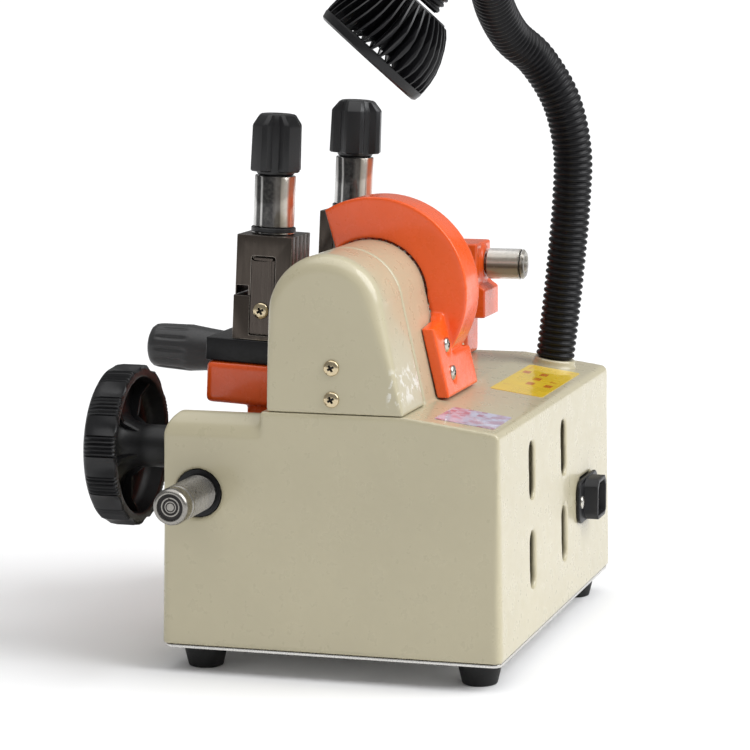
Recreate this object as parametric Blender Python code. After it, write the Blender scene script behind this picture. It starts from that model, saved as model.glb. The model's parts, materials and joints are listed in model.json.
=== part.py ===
"""Key duplicating machine: cast base, sliding and swinging key carriage with two vises,
belt-driven cutter under a guard, tracer, and a work lamp on a gooseneck.

X is the operator's right, Y points to the back, Z is up. The feet stand at Z = 0.
"""
import math

import bmesh
import bpy
from mathutils import Matrix, Vector

MM = 0.001                       # sizes below are in millimetres, meshes are in metres
GAP = 0.3                        # clearance between touching pieces

# ---------------------------------------------------------------- driving dimensions
BASE_WIDTH = 277.5               # along X
BASE_DEPTH = 191.3               # along Y
BASE_BOTTOM = 16.0               # lower rim of the casting above the table
DECK = 146.0                     # flat top of the casting
BACK_TOP = 139.0                 # the top slopes down to this at the back edge
SLOPE_START = 43.0               # Y where the slope begins
DRAFT = 2.2                      # how much each side leans in over its height
WALL = 7.0

RECESS = dict(x=(-112.0, 78.0), back=-38.5, floor=74.0)     # bay for the carriage
LEFT_EAR_TOP = 124.0             # the carriage passes over the left ear
RIGHT_EAR_ROUND = 15.0           # outer top edge of the right ear
RIGHT_EAR_LOW = 135.0            # its top falls to this height at the bay

SPINDLE_Y = -3.0
SPINDLE_Z = 199.5
ARCH_RADIUS = 31.5               # headstock and belt cover share this arch
HEAD_FRONT = -35.0
HEAD_BACK = 41.2                 # rear foot of the arch, where it meets the deck
HEAD_LEFT = 44.0
HEAD_SPLIT = 92.5                # plane between headstock and belt cover
HEAD_LEAN = math.atan2(HEAD_BACK - SPINDLE_Y - ARCH_RADIUS, SPINDLE_Z - DECK)
COVER_FACE = 136.3
COVER_SCREWS = dict(upper=171.0, lower=154.0)               # heights of the two screws
COVER_SCREW_Y = 1.7

CUTTER_RADIUS = 34.0
CUTTER_X = 38.0
CUTTER_WIDTH = 7.0
GUARD_CENTRE = (-1.8, 200.8)
GUARD_RADIUS = 53.8
GUARD_X = (17.0, 45.0)
GUARD_SCREWS = dict(upper=174.0, lower=158.6)               # heights of the flange screws
GUARD_SCREW_X = 51.5
FLANGE_X = (6.0, 70.0)
FLANGE = (0.8, 7.8)              # faces of the guard flange behind the sloping back

VENT_X = (63.0, -15.0)           # four slots in the back wall
VENT_Z = (108.0, 58.2)
INLET_X = (-82.0, -57.0)         # shroud of the mains inlet
INLET_Z = (58.0, 82.0)
SWITCH_Y = 21.0
SWITCH_Z = 90.0

MOTOR_Y = 20.0
MOTOR_Z = 75.0
MOTOR_RADIUS = 36.0
BELT_X = (105.0, 112.0)
SPINDLE_PULLEY = 21.0
MOTOR_PULLEY = 13.0

SHAFT_Y = -74.0                  # round rack that the carriage slides and swings on
SHAFT_Z = 100.0
SHAFT_RADIUS = 10.0
SHAFT_X = (-150.0, 181.0)
PINION_X = 92.0
PINION_RADIUS = 6.7
PINION_Z = SHAFT_Z + SHAFT_RADIUS + PINION_RADIUS + GAP

WHEEL_RADIUS = 45.0
WHEEL_Y = (-143.5, -122.5)

CARRIAGE_LEAN = math.radians(2.7)    # the carriage rests leaning toward the cutter
CARRIAGE_X = (-122.0, 68.0)
VISE_X = dict(right=50.0, left=-104.0)
VISE_WIDTH = 34.0
VISE_Y = 9.0                     # vise axis behind the rack shaft, in the carriage's frame
PLATE_Z = (62.0, 75.0)           # clamp plate, above the shaft axis
ARM_X = dict(right=(40.0, 64.0), left=(-74.0, -50.0))
HANDLE_X = -27.0
HANDLE_Z = 53.0
JAW_SPLIT = 100.0
VISE_TOP = 134.0

TRACER_X = -116.0
TRACER_Z = 201.85

NECK_RADIUS = 11.7
NECK_BASE = Vector((-106.0, 67.1, 142.9))
NECK_JOINTS = (3.5, 9.0)         # places along the centre line where the neck bends
LAMP_RIM = Vector((50.0, -3.3, 330.7))
LAMP_AXIS = Vector((-0.2075, 0.6405, 0.7393)).normalized()   # from the rim to the back
LAMP_DEPTH = 42.0

FOOT_X = 115.0
FOOT_Y = 78.0

ORIGIN = Vector((15.5, -28.46, 0.0))   # middle of the whole machine on the table

# ---------------------------------------------------------------- materials
FINISHES = dict(
    cream_enamel=((0.74, 0.70, 0.58), 0.42, 0.0),
    orange_enamel=((0.76, 0.14, 0.03), 0.38, 0.0),
    black_plastic=((0.02, 0.02, 0.022), 0.45, 0.0),
    black_oxide=((0.025, 0.025, 0.027), 0.5, 0.6),
    vise_steel=((0.12, 0.10, 0.09), 0.4, 0.85),
    chrome=((0.85, 0.85, 0.85), 0.12, 1.0),
    steel=((0.55, 0.55, 0.54), 0.3, 1.0),
    zinc=((0.62, 0.56, 0.42), 0.3, 1.0),
    rubber=((0.02, 0.02, 0.02), 0.8, 0.0),
    lamp_glass=((0.85, 0.87, 0.88), 0.25, 0.0),
)


def make_material(name):
    colour, roughness, metallic = FINISHES[name]
    material = bpy.data.materials.new(name)
    material.use_nodes = True
    shader = material.node_tree.nodes["Principled BSDF"]
    shader.inputs["Base Color"].default_value = (*colour, 1.0)
    shader.inputs["Roughness"].default_value = roughness
    shader.inputs["Metallic"].default_value = metallic
    return material


# ---------------------------------------------------------------- modelling helpers
AXIS_TURN = dict(
    x=(0.0, math.pi / 2, 0.0),
    y=(-math.pi / 2, 0.0, 0.0),
    z=(0.0, 0.0, 0.0),
)


def add_object(name, mesh, finish, parent=None, location=(0, 0, 0), turn=(0, 0, 0)):
    """Put a mesh into the scene as one named piece. Location is in millimetres."""
    obj = bpy.data.objects.new(name, mesh)
    bpy.context.scene.collection.objects.link(obj)
    if finish:
        mesh.materials.append(MATERIALS[finish])
    obj.location = Vector(location) * MM
    obj.rotation_euler = turn
    obj.parent = parent if parent else MACHINE
    return obj


def add_empty(name, parent=None, location=(0, 0, 0), turn=(0, 0, 0)):
    empty = bpy.data.objects.new(name, None)
    empty.empty_display_size = 0.02
    bpy.context.scene.collection.objects.link(empty)
    empty.location = Vector(location) * MM
    empty.rotation_euler = turn
    empty.parent = parent
    return empty


def finish_mesh(bm, name, smooth=False):
    bmesh.ops.remove_doubles(bm, verts=bm.verts, dist=1e-6)
    bmesh.ops.recalc_face_normals(bm, faces=bm.faces)
    mesh = bpy.data.meshes.new(name)
    bm.to_mesh(mesh)
    bm.free()
    if smooth:
        mesh.shade_smooth()
        mesh.set_sharp_from_angle(angle=math.radians(35))
    return mesh


def rounded(corners, steps=4):
    """Outline with each corner (a, b, radius) replaced by an arc."""
    points = []
    count = len(corners)
    for index, (a, b, radius) in enumerate(corners):
        here = Vector((a, b))
        if radius <= 0:
            points.append((a, b))
            continue
        before = Vector(corners[index - 1][:2]) - here
        after = Vector(corners[(index + 1) % count][:2]) - here
        half = before.angle(after) / 2
        reach = radius / math.tan(half)
        start = here + before.normalized() * reach
        end = here + after.normalized() * reach
        middle = here + (before.normalized() + after.normalized()).normalized() * radius / math.sin(half)
        first = start - middle
        sweep = first.angle_signed(end - middle)
        for step in range(steps + 1):
            spin = Matrix.Rotation(-sweep * step / steps, 2)
            point = middle + spin @ first
            points.append((point.x, point.y))
    return points


def arc(centre, radius, start, end, steps):
    """Points on a circle; angles in degrees from the first axis."""
    points = []
    for step in range(steps + 1):
        angle = math.radians(start + (end - start) * step / steps)
        points.append((centre[0] + radius * math.cos(angle), centre[1] + radius * math.sin(angle)))
    return points


def extruded(name, outline, axis, span, finish=None, parent=None, location=(0, 0, 0), bevel=None):
    """Prism of an outline. The outline lies in YZ, XZ or XY, whichever is across the axis."""
    place = dict(
        x=lambda a, b, c: (c, a, b),
        y=lambda a, b, c: (a, c, b),
        z=lambda a, b, c: (a, b, c),
    )[axis]
    bm = bmesh.new()
    low = [bm.verts.new(Vector(place(a, b, span[0])) * MM) for a, b in outline]
    high = [bm.verts.new(Vector(place(a, b, span[1])) * MM) for a, b in outline]
    bm.faces.new(low)
    bm.faces.new(high)
    for index in range(len(outline)):
        after = (index + 1) % len(outline)
        bm.faces.new((low[index], low[after], high[after], high[index]))
    if bevel:
        width, pick = bevel
        edges = [edge for edge in bm.edges if pick(edge)]
        bmesh.ops.bevel(bm, geom=edges, offset=width * MM, segments=2, profile=0.5, affect="EDGES")
    return add_object(name, finish_mesh(bm, name), finish, parent, location)


def block(name, x, y, z, finish=None, parent=None, bevel=0.0, location=(0, 0, 0)):
    """Box between the given limits, with all its edges bevelled if asked."""
    outline = [(x[0], y[0]), (x[1], y[0]), (x[1], y[1]), (x[0], y[1])]
    rule = (bevel, lambda edge: True) if bevel else None
    return extruded(name, outline, "z", z, finish, parent, location, rule)


def turned(name, profile, axis, at, finish=None, parent=None, segments=24, turn=None):
    """Spin (radius, height) points about an axis through a place."""
    bm = bmesh.new()
    points = [bm.verts.new((radius * MM, 0.0, height * MM)) for radius, height in profile]
    edges = [bm.edges.new(pair) for pair in zip(points, points[1:])]
    if profile[0][0] > 0 and profile[-1][0] > 0:
        edges.append(bm.edges.new((points[-1], points[0])))
    bmesh.ops.spin(bm, geom=points + edges, axis=(0, 0, 1), cent=(0, 0, 0), steps=segments,
                   angle=math.tau, use_merge=True)
    mesh = finish_mesh(bm, name, smooth=True)
    return add_object(name, mesh, finish, parent, at, turn or AXIS_TURN[axis])


def rod(name, axis, at, span, radius, finish=None, parent=None, segments=24):
    profile = [(0, span[0]), (radius, span[0]), (radius, span[1]), (0, span[1])]
    return turned(name, profile, axis, at, finish, parent, segments)


def combine(target, tool, operation):
    """Cut a tool out of a piece, or weld it on. The tool stays as a hidden guide."""
    modifier = target.modifiers.new(tool.name, "BOOLEAN")
    modifier.operation = operation
    modifier.solver = "EXACT"
    modifier.object = tool
    tool.hide_render = True
    tool.display_type = "WIRE"


def cut(target, tool):
    combine(target, tool, "DIFFERENCE")


def weld(target, tool):
    combine(target, tool, "UNION")


def pan_screw(name, axis, at, length, finish="zinc", parent=None, radius=4.3):
    """Pan head with a round dimple, on a plain shank. The head points along the axis."""
    profile = [(0, 1.6), (1.3, 1.6), (1.9, 2.7), (radius * 0.72, 2.4), (radius, 1.0), (radius, 0),
               (2.0, 0), (2.0, -length), (0, -length)]
    turned(name, profile, axis, at, finish, parent, 12)


# ---------------------------------------------------------------- fixed structure
def arch_outline(shrink=0.0, bottom=DECK):
    """Outline in YZ shared by headstock and belt cover: upright front, arch, sloping back."""
    lean = math.degrees(HEAD_LEAN)
    foot = HEAD_BACK - shrink / math.cos(HEAD_LEAN) + (DECK - bottom) * math.tan(HEAD_LEAN)
    return [(HEAD_FRONT + shrink, bottom), (foot, bottom)] + \
        arc((SPINDLE_Y, SPINDLE_Z), ARCH_RADIUS - shrink, lean / 2, 180, 12)


def back_line(z, offset):
    """Y of the sloping back of the headstock at a height, moved out by an offset."""
    return HEAD_BACK - (z - DECK) * math.tan(HEAD_LEAN) + offset


def base_casting():
    half = BASE_WIDTH / 2
    front = -BASE_DEPTH / 2
    back = BASE_DEPTH / 2
    outline = rounded([
        (front, BASE_BOTTOM, 0),
        (back, BASE_BOTTOM, 0),
        (back - DRAFT, BACK_TOP, 4),
        (SLOPE_START, DECK, 0),
        (front + DRAFT, DECK, 16),
    ])
    rim = BASE_BOTTOM * MM + 1e-6

    def upper_edge(edge):
        across = abs(edge.verts[0].co.x - edge.verts[1].co.x) > 1e-6
        return not across and max(vert.co.z for vert in edge.verts) > rim

    casting = extruded("base_casting", outline, "x", (-half, half), "cream_enamel",
                       bevel=(4.5, upper_edge))
    height = (DECK - BASE_BOTTOM) * MM
    for vert in casting.data.vertices:
        rise = (vert.co.z - BASE_BOTTOM * MM) / height
        vert.co.x *= 1 - rise * DRAFT / half
    # the taper twists the long faces, so they are split before anything is cut
    casting.modifiers.new("flat_faces", "TRIANGULATE")

    weld(casting, extruded("headstock_shape", arch_outline(bottom=DECK - 4), "x",
                           (HEAD_LEFT, HEAD_SPLIT)))
    post = [(20, DECK - 4), (HEAD_BACK - 0.2, DECK - 4), (back_line(168, -0.2), 168), (22, 168)]
    weld(casting, extruded("guard_post_shape", post, "x", (-12, HEAD_LEFT + 5)))

    x0, x1 = RECESS["x"]
    back_of_bay = RECESS["back"]
    floor = RECESS["floor"]
    bay = [(x0, floor), (x1, floor), (x1, 260), (-150, 260), (-150, LEFT_EAR_TOP), (x0, LEFT_EAR_TOP)]
    cut(casting, extruded("carriage_bay", bay, "y", (-110, back_of_bay)))
    hollow = [(front + WALL, 5), (back - WALL, 5), (back - WALL - 1, BACK_TOP - 7),
              (SLOPE_START, DECK - 7), (back_of_bay + WALL, DECK - 7),
              (back_of_bay + WALL, floor - 6), (front + WALL, floor - 6)]
    cut(casting, extruded("inner_space", hollow, "x", (-half + WALL, half - WALL)))
    # the right ear's top slopes down to the bay from a rounded shoulder
    centre = (half - DRAFT - RIGHT_EAR_ROUND, DECK - RIGHT_EAR_ROUND - 1)
    crest = arc(centre, RIGHT_EAR_ROUND, 8, 68, 5)
    above_ear = [(150, crest[0][1])] + crest + [(x1 - 4, RIGHT_EAR_LOW), (x1 - 4, 170), (150, 170)]
    cut(casting, extruded("above_right_ear", above_ear, "y", (-112, back_of_bay + 0.2)))
    for side, span, top in (("right", (x1 + 6, half - WALL - 1), RIGHT_EAR_LOW - 7),
                            ("left", (-half + WALL + 1, x0 - 6), LEFT_EAR_TOP - 7)):
        cut(casting, block("ear_space_" + side, span, (front + WALL + 1, -20), (50, top)))

    cut(casting, block("belt_opening", (98, 122), (-28, 34), (DECK - 12, DECK + 4)))
    cut(casting, rod("spindle_bore", "x", (0, SPINDLE_Y, SPINDLE_Z), (HEAD_LEFT - 5, HEAD_SPLIT + 5), 17.8))
    for side, span in dict(right=(125, 145), left=(-145, -125)).items():
        cut(casting, rod("bush_hole_" + side, "x", (0, SHAFT_Y, SHAFT_Z), span, 13.3))
    for side, span in dict(right=(72, 88), left=(-122, -106)).items():
        cut(casting, rod("shaft_hole_" + side, "x", (0, SHAFT_Y, SHAFT_Z), span, SHAFT_RADIUS + 1.2))
    cut(casting, rod("pinion_hole", "y", (PINION_X, 0, PINION_Z), (-105, -82), 9.3, segments=16))
    for name, height in COVER_SCREWS.items():
        cut(casting, rod("cover_thread_" + name, "x", (0, COVER_SCREW_Y, height), (84, 100), 2.3,
                         segments=12))
    for x in VENT_X:
        for z in VENT_Z:
            slot = rounded([(x - 5, z - 16, 4.6), (x + 5, z - 16, 4.6), (x + 5, z + 16, 4.6),
                            (x - 5, z + 16, 4.6)], 3)
            cut(casting, extruded("vent_%d_%d" % (x, z), slot, "y", (80, 110)))
            # the wall is thin around each slot
            cut(casting, block("vent_pocket_%d_%d" % (x, z), (x - 9, x + 9), (80, 91.4), (z - 20, z + 20)))
    cut(casting, block("inlet_hole", (INLET_X[0] - 1, INLET_X[1] + 1), (80, 110),
                       (INLET_Z[0] - 1, INLET_Z[1] + 1)))
    cut(casting, rod("neck_hole", "z", (NECK_BASE.x, NECK_BASE.y, 0), (120, 160), 5, segments=12))
    cut(casting, block("switch_hole", (-150, -125), (SWITCH_Y - 13, SWITCH_Y + 13),
                       (SWITCH_Z - 9, SWITCH_Z + 9)))
    for name, height in GUARD_SCREWS.items():
        cut(casting, rod("guard_thread_" + name, "y", (GUARD_SCREW_X, 0, height), (26, 60), 2.4,
                         segments=12))


def bottom_plate():
    half_x = BASE_WIDTH / 2 - 1
    half_y = BASE_DEPTH / 2 - 1
    outline = rounded([(-half_x, -half_y, 5), (half_x, -half_y, 5), (half_x, half_y, 5),
                       (-half_x, half_y, 5)], 3)
    extruded("bottom_plate", outline, "z", (14.0, BASE_BOTTOM - GAP), "steel")


def feet():
    profile = [(0, 0), (9.2, 0), (9.7, 0.5), (12.6, 12.7), (12.6, 13.7), (0, 13.7)]
    for side, x in dict(right=FOOT_X, left=-FOOT_X).items():
        for end, y in dict(front=-FOOT_Y, back=FOOT_Y).items():
            turned("foot_%s_%s" % (end, side), profile, "z", (x, y, 0), "rubber", segments=20)


def belt_cover():
    face = COVER_FACE * MM - 1e-6
    low = (DECK + GAP) * MM + 1e-6

    def face_edge(edge):
        on_face = all(vert.co.x > face for vert in edge.verts)
        return on_face and max(vert.co.z for vert in edge.verts) > low

    cover = extruded("belt_cover", arch_outline(bottom=DECK + GAP), "x",
                     (HEAD_SPLIT + GAP, COVER_FACE), "cream_enamel", bevel=(4.0, face_edge))
    cut(cover, extruded("cover_space", arch_outline(5.5, DECK - 10), "x", (HEAD_SPLIT - 5, COVER_FACE - 5)))
    for name, height in COVER_SCREWS.items():
        at = (0, COVER_SCREW_Y, height)
        weld(cover, rod("cover_boss_" + name, "x", at, (HEAD_SPLIT + GAP, COVER_FACE - 3), 5, segments=12))
        cut(cover, rod("cover_hole_" + name, "x", at, (HEAD_SPLIT - 5, COVER_FACE + 5), 2.4, segments=12))
        pan_screw("belt_cover_screw_" + name, "x", (COVER_FACE + GAP, COVER_SCREW_Y, height), 50)


def cutter_guard():
    """Crescent with a wall on the headstock side, a rim around the cutter and a rear flange."""
    x0, x1 = GUARD_X
    outer = arc(GUARD_CENTRE, GUARD_RADIUS, 121.9, -40, 16)
    inner = arc((SPINDLE_Y, SPINDLE_Z), ARCH_RADIUS + 1.5, 0, 130, 10)
    side = outer + [(back_line(165, FLANGE[0] + 0.5), 165)] + inner
    guard = extruded("cutter_guard", side, "x", (x1 - 3, x1), "orange_enamel")
    rim = outer + list(reversed(arc(GUARD_CENTRE, GUARD_RADIUS - 3.5, 121.9, -40, 16)))
    weld(guard, extruded("guard_rim_shape", rim, "x", (x0, x1 - 0.5)))
    left, right = FLANGE_X
    plate = [(left, 147), (right, 147), (right, 185), (x1 - 1, 185), (x1 - 2, 168.5), (left, 168.5)]
    flange = extruded("guard_flange_shape", plate, "y", FLANGE)
    for vert in flange.data.vertices:
        vert.co.y += back_line(vert.co.z / MM, 0) * MM
    weld(guard, flange)
    for name, height in GUARD_SCREWS.items():
        at = (GUARD_SCREW_X, 0, height)
        face = back_line(height, FLANGE[1])
        cut(guard, rod("guard_hole_" + name, "y", at, (20, 60), 2.4, segments=12))
        cut(guard, rod("guard_recess_" + name, "y", at, (face - 0.9, 62), 5.0, segments=16))
        pan_screw("guard_screw_" + name, "y", (GUARD_SCREW_X, face - 0.6, height), 12, "steel")


def tracer_bracket():
    """Post with a wider head; a boss at the back of the head carries the adjusting screw."""
    outline = [(-25, 170), (25.7, 170), (25.7, 186.5), (20.7, 189.5), (20.7, 215), (-25, 215)]
    bracket = extruded("tracer_bracket", outline, "x", (TRACER_X - 17, TRACER_X + 17), "orange_enamel",
                       bevel=(2.0, lambda edge: True))
    weld(bracket, block("tracer_column_shape", (TRACER_X - 14, TRACER_X + 14), (-20, 14), (DECK + GAP, 175)))
    boss = [(0, 17), (11.5, 17), (11.5, 21.2), (10, 22.7), (0, 22.7)]
    weld(bracket, turned("tracer_boss_shape", boss, "y", (TRACER_X, 0, TRACER_Z)))
    cut(bracket, rod("tracer_bore", "y", (TRACER_X, 0, TRACER_Z), (-30, 40), 6.0, segments=16))


def base_fittings():
    profile = [(0, 0), (13.4, 0), (12.7, 1.4), (12.5, 3.2), (11.6, 4.2), (0, 4.2)]
    tilt = math.atan2(DECK - BACK_TOP, BASE_DEPTH / 2 - DRAFT - SLOPE_START)
    turned("gooseneck_collar", profile, "z", NECK_BASE, "cream_enamel", turn=(-tilt, 0, 0))

    inlet_y = BASE_DEPTH / 2 - 0.6
    ears = rounded([(-94.5, 57, 8), (-44.5, 57, 8), (-44.5, 83, 8), (-94.5, 83, 8)], 3)
    inlet = extruded("power_inlet", ears, "y", (inlet_y, inlet_y + 2), "black_plastic")
    weld(inlet, block("inlet_body_shape", INLET_X, (70, inlet_y + 10), INLET_Z))
    socket = rounded([(-79.5, 60.5, 0), (-59.5, 60.5, 0), (-59.5, 76, 0), (-63, 79.5, 0),
                      (-76, 79.5, 0), (-79.5, 76, 0)])
    cut(inlet, extruded("inlet_socket_space", socket, "y", (inlet_y - 8, inlet_y + 20)))
    for side, x in dict(right=-50.0, left=-89.0).items():
        cut(inlet, rod("inlet_hole_" + side, "y", (x, 0, 70), (60, 120), 2.4, segments=12))

    wall = -BASE_WIDTH / 2 + DRAFT / 2

    def around(half_y, half_z):
        return (SWITCH_Y - half_y, SWITCH_Y + half_y), (SWITCH_Z - half_z, SWITCH_Z + half_z)

    frame = block("power_switch_frame", (wall - 2.6, wall - 0.2), *around(15, 11.5), "black_plastic")
    weld(frame, block("switch_body_shape", (wall - 1, wall + 22), *around(12.5, 8.5)))
    cut(frame, block("switch_well_shape", (wall - 8, wall + 16), *around(10.5, 7)))
    pivot = add_empty("switch_pivot", MACHINE, (wall + 2, SWITCH_Y, SWITCH_Z))
    paddle = [(-5.8, 8.4), (-3.6, 0), (-2.2, -9.9), (6, -7.5), (6, 7.5)]
    extruded("switch_rocker", paddle, "z", (-6.4, 6.4), "black_plastic", parent=pivot)


def drive():
    """Motor, belt and the two pulleys, spindle with bearings and cutter."""
    motor = rod("motor", "x", (0, MOTOR_Y, MOTOR_Z), (-55, 92), MOTOR_RADIUS, "black_oxide", segments=28)
    weld(motor, block("motor_cradle_shape", (-35, 70), (MOTOR_Y - 30, MOTOR_Y + 30), (16.2, 50)))
    cut(motor, rod("motor_shaft_space", "x", (0, MOTOR_Y, MOTOR_Z), (60, 110), 5, segments=12))

    pulley = [(0, 62), (4, 62), (4, 100), (MOTOR_PULLEY + 1.5, 100), (MOTOR_PULLEY + 1.5, 104),
              (MOTOR_PULLEY, 104.5), (MOTOR_PULLEY, 112.5), (MOTOR_PULLEY + 1.5, 113),
              (MOTOR_PULLEY + 1.5, 116), (0, 116)]
    turned("motor_pulley", pulley, "x", (0, MOTOR_Y, MOTOR_Z), "steel")
    pulley = [(6.3, 100), (SPINDLE_PULLEY + 1.5, 100), (SPINDLE_PULLEY + 1.5, 104),
              (SPINDLE_PULLEY, 104.5), (SPINDLE_PULLEY, 112.5), (SPINDLE_PULLEY + 1.5, 113),
              (SPINDLE_PULLEY + 1.5, 116), (6.3, 116)]
    turned("spindle_pulley", pulley, "x", (0, SPINDLE_Y, SPINDLE_Z), "steel")

    def loop(extra):
        low = Vector((MOTOR_Y, MOTOR_Z))
        high = Vector((SPINDLE_Y, SPINDLE_Z))
        rise = math.degrees(math.atan2(high.y - low.y, high.x - low.x))
        swing = math.degrees(math.asin((SPINDLE_PULLEY - MOTOR_PULLEY) / (high - low).length))
        top = arc(high, SPINDLE_PULLEY + extra, rise - 90 - swing, rise + 90 + swing, 14)
        return top + arc(low, MOTOR_PULLEY + extra, rise + 90 + swing, rise + 270 - swing, 10)

    belt = extruded("drive_belt", loop(3.2), "x", BELT_X, "rubber")
    cut(belt, extruded("belt_inside", loop(GAP), "x", (BELT_X[0] - 5, BELT_X[1] + 5)))

    ring = [(6.3, 0), (17.4, 0), (17.4, 11), (6.3, 11)]
    for side, x in dict(left=HEAD_LEFT + 2, right=HEAD_SPLIT - 13).items():
        turned("spindle_bearing_" + side, ring, "x", (x, SPINDLE_Y, SPINDLE_Z), "steel")
    shaft = [(0, 20), (5, 20), (6, 21), (6, 122), (5, 123), (0, 123)]
    turned("spindle", shaft, "x", (0, SPINDLE_Y, SPINDLE_Z), "steel", segments=20)
    half = CUTTER_WIDTH / 2
    wheel = [(6.3, -half), (16, -half), (16, -half + 1), (24, -half + 1), (24, -half),
             (CUTTER_RADIUS - 2, -half), (CUTTER_RADIUS, 0), (CUTTER_RADIUS - 2, half), (16, half),
             (6.3, half)]
    turned("cutter_wheel", wheel, "x", (CUTTER_X, SPINDLE_Y, SPINDLE_Z), "steel", segments=36)
    nut = [(6.3, -half - 0.4), (13, -half - 0.4), (13, -half - 2.5), (9.5, -half - 2.5), (9.5, -half - 10),
           (6.3, -half - 10)]
    turned("cutter_nut", nut, "x", (CUTTER_X, SPINDLE_Y, SPINDLE_Z), "black_oxide", segments=12)


def rack_drive():
    """Round rack, its bushes, the pinion shaft and the handwheel."""
    x0, x1 = SHAFT_X
    bar = [(0, x0), (8.5, x0), (SHAFT_RADIUS, x0 + 1.5), (SHAFT_RADIUS, x1 - 2), (8.5, x1),
           (4.5, x1), (3.5, x1 - 1.2), (0, x1 - 1.2)]
    turned("rack_shaft", bar, "x", (0, SHAFT_Y, SHAFT_Z), "steel", segments=24)
    half = BASE_WIDTH / 2
    bush = [(SHAFT_RADIUS + GAP, 0), (13.0, 0), (13.0, 7), (SHAFT_RADIUS + GAP, 7)]
    turned("rack_bush_right", bush, "x", (half - 9.4, SHAFT_Y, SHAFT_Z), "black_oxide", segments=20)
    turned("rack_bush_left", bush, "x", (-half + 2.4, SHAFT_Y, SHAFT_Z), "black_oxide", segments=20)

    collar = [(6.3, -100), (12.5, -100), (12.5, -95.6), (9.0, -95.6), (9.0, -84), (6.3, -84)]
    turned("pinion_bush", collar, "y", (PINION_X, 0, PINION_Z), "black_oxide", segments=20)
    shaft = [(0, -141), (6, -141), (6, -83), (PINION_RADIUS, -82.5), (PINION_RADIUS, -62), (0, -62)]
    turned("pinion_shaft", shaft, "y", (PINION_X, 0, PINION_Z), "steel", segments=20)

    y0, y1 = WHEEL_Y
    cup = [(6.3, y0 + 3), (18, y0 + 3), (22, y0), (WHEEL_RADIUS - 5, y0), (WHEEL_RADIUS, y0 + 4),
           (WHEEL_RADIUS, y1 - 1), (WHEEL_RADIUS - 1, y1), (WHEEL_RADIUS - 6, y1),
           (WHEEL_RADIUS - 7, y0 + 8), (16, y0 + 8), (12, y1), (12, y1 + 20), (6.3, y1 + 20)]
    turned("handwheel", cup, "y", (PINION_X, 0, PINION_Z), "black_plastic", segments=40)
    cap = [(0, -146), (7, -146), (9, -144.5), (9, y0 + 2.6), (6.6, y0 + 2.6), (6.6, -141.5), (0, -141.5)]
    turned("handwheel_nut", cap, "y", (PINION_X, 0, PINION_Z), "chrome", segments=16)


# ---------------------------------------------------------------- carriage
def carriage():
    pivot = add_empty("carriage_pivot", MACHINE, (0, SHAFT_Y, SHAFT_Z), (-CARRIAGE_LEAN, 0, 0))
    x0, x1 = CARRIAGE_X
    low, high = PLATE_Z
    body = block("carriage_block", (x0, x1), (-22, 26), (38, low - GAP), "orange_enamel", pivot, bevel=2.5)
    for side, span in ARM_X.items():
        weld(body, block("arm_shape_" + side, span, (1.6, 19), (4, 42), parent=pivot))
        weld(body, rod("boss_shape_" + side, "x", (0, 0, 0), span, 16.5, parent=pivot, segments=20))
    cut(body, rod("shaft_clearance", "x", (0, 0, 0), (x0 - 10, x1 + 10), SHAFT_RADIUS + GAP, parent=pivot))
    handle_at = (HANDLE_X, 0, HANDLE_Z)
    cut(body, rod("handle_thread", "y", handle_at, (-30, -8), 4.4, parent=pivot, segments=12))

    plate = block("clamp_plate", (x0 + 1, x1 - 0.5), (-22.6, 28), (low, high), "black_oxide", pivot,
                  bevel=1.0)
    for side, x in VISE_X.items():
        cut(plate, rod("stud_hole_" + side, "z", (x, VISE_Y, 0), (50, 90), 5, parent=pivot, segments=12))

    grip = [(0, -90), (9, -90), (13, -86.5), (13.6, -70), (14, -64), (10.5, -30), (8.5, -22.4),
            (4.0, -22.4), (4.0, -12), (0, -12)]
    turned("carriage_handle", grip, "y", handle_at, "black_plastic", pivot)
    for side, x in VISE_X.items():
        vise(side, x, pivot)


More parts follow.
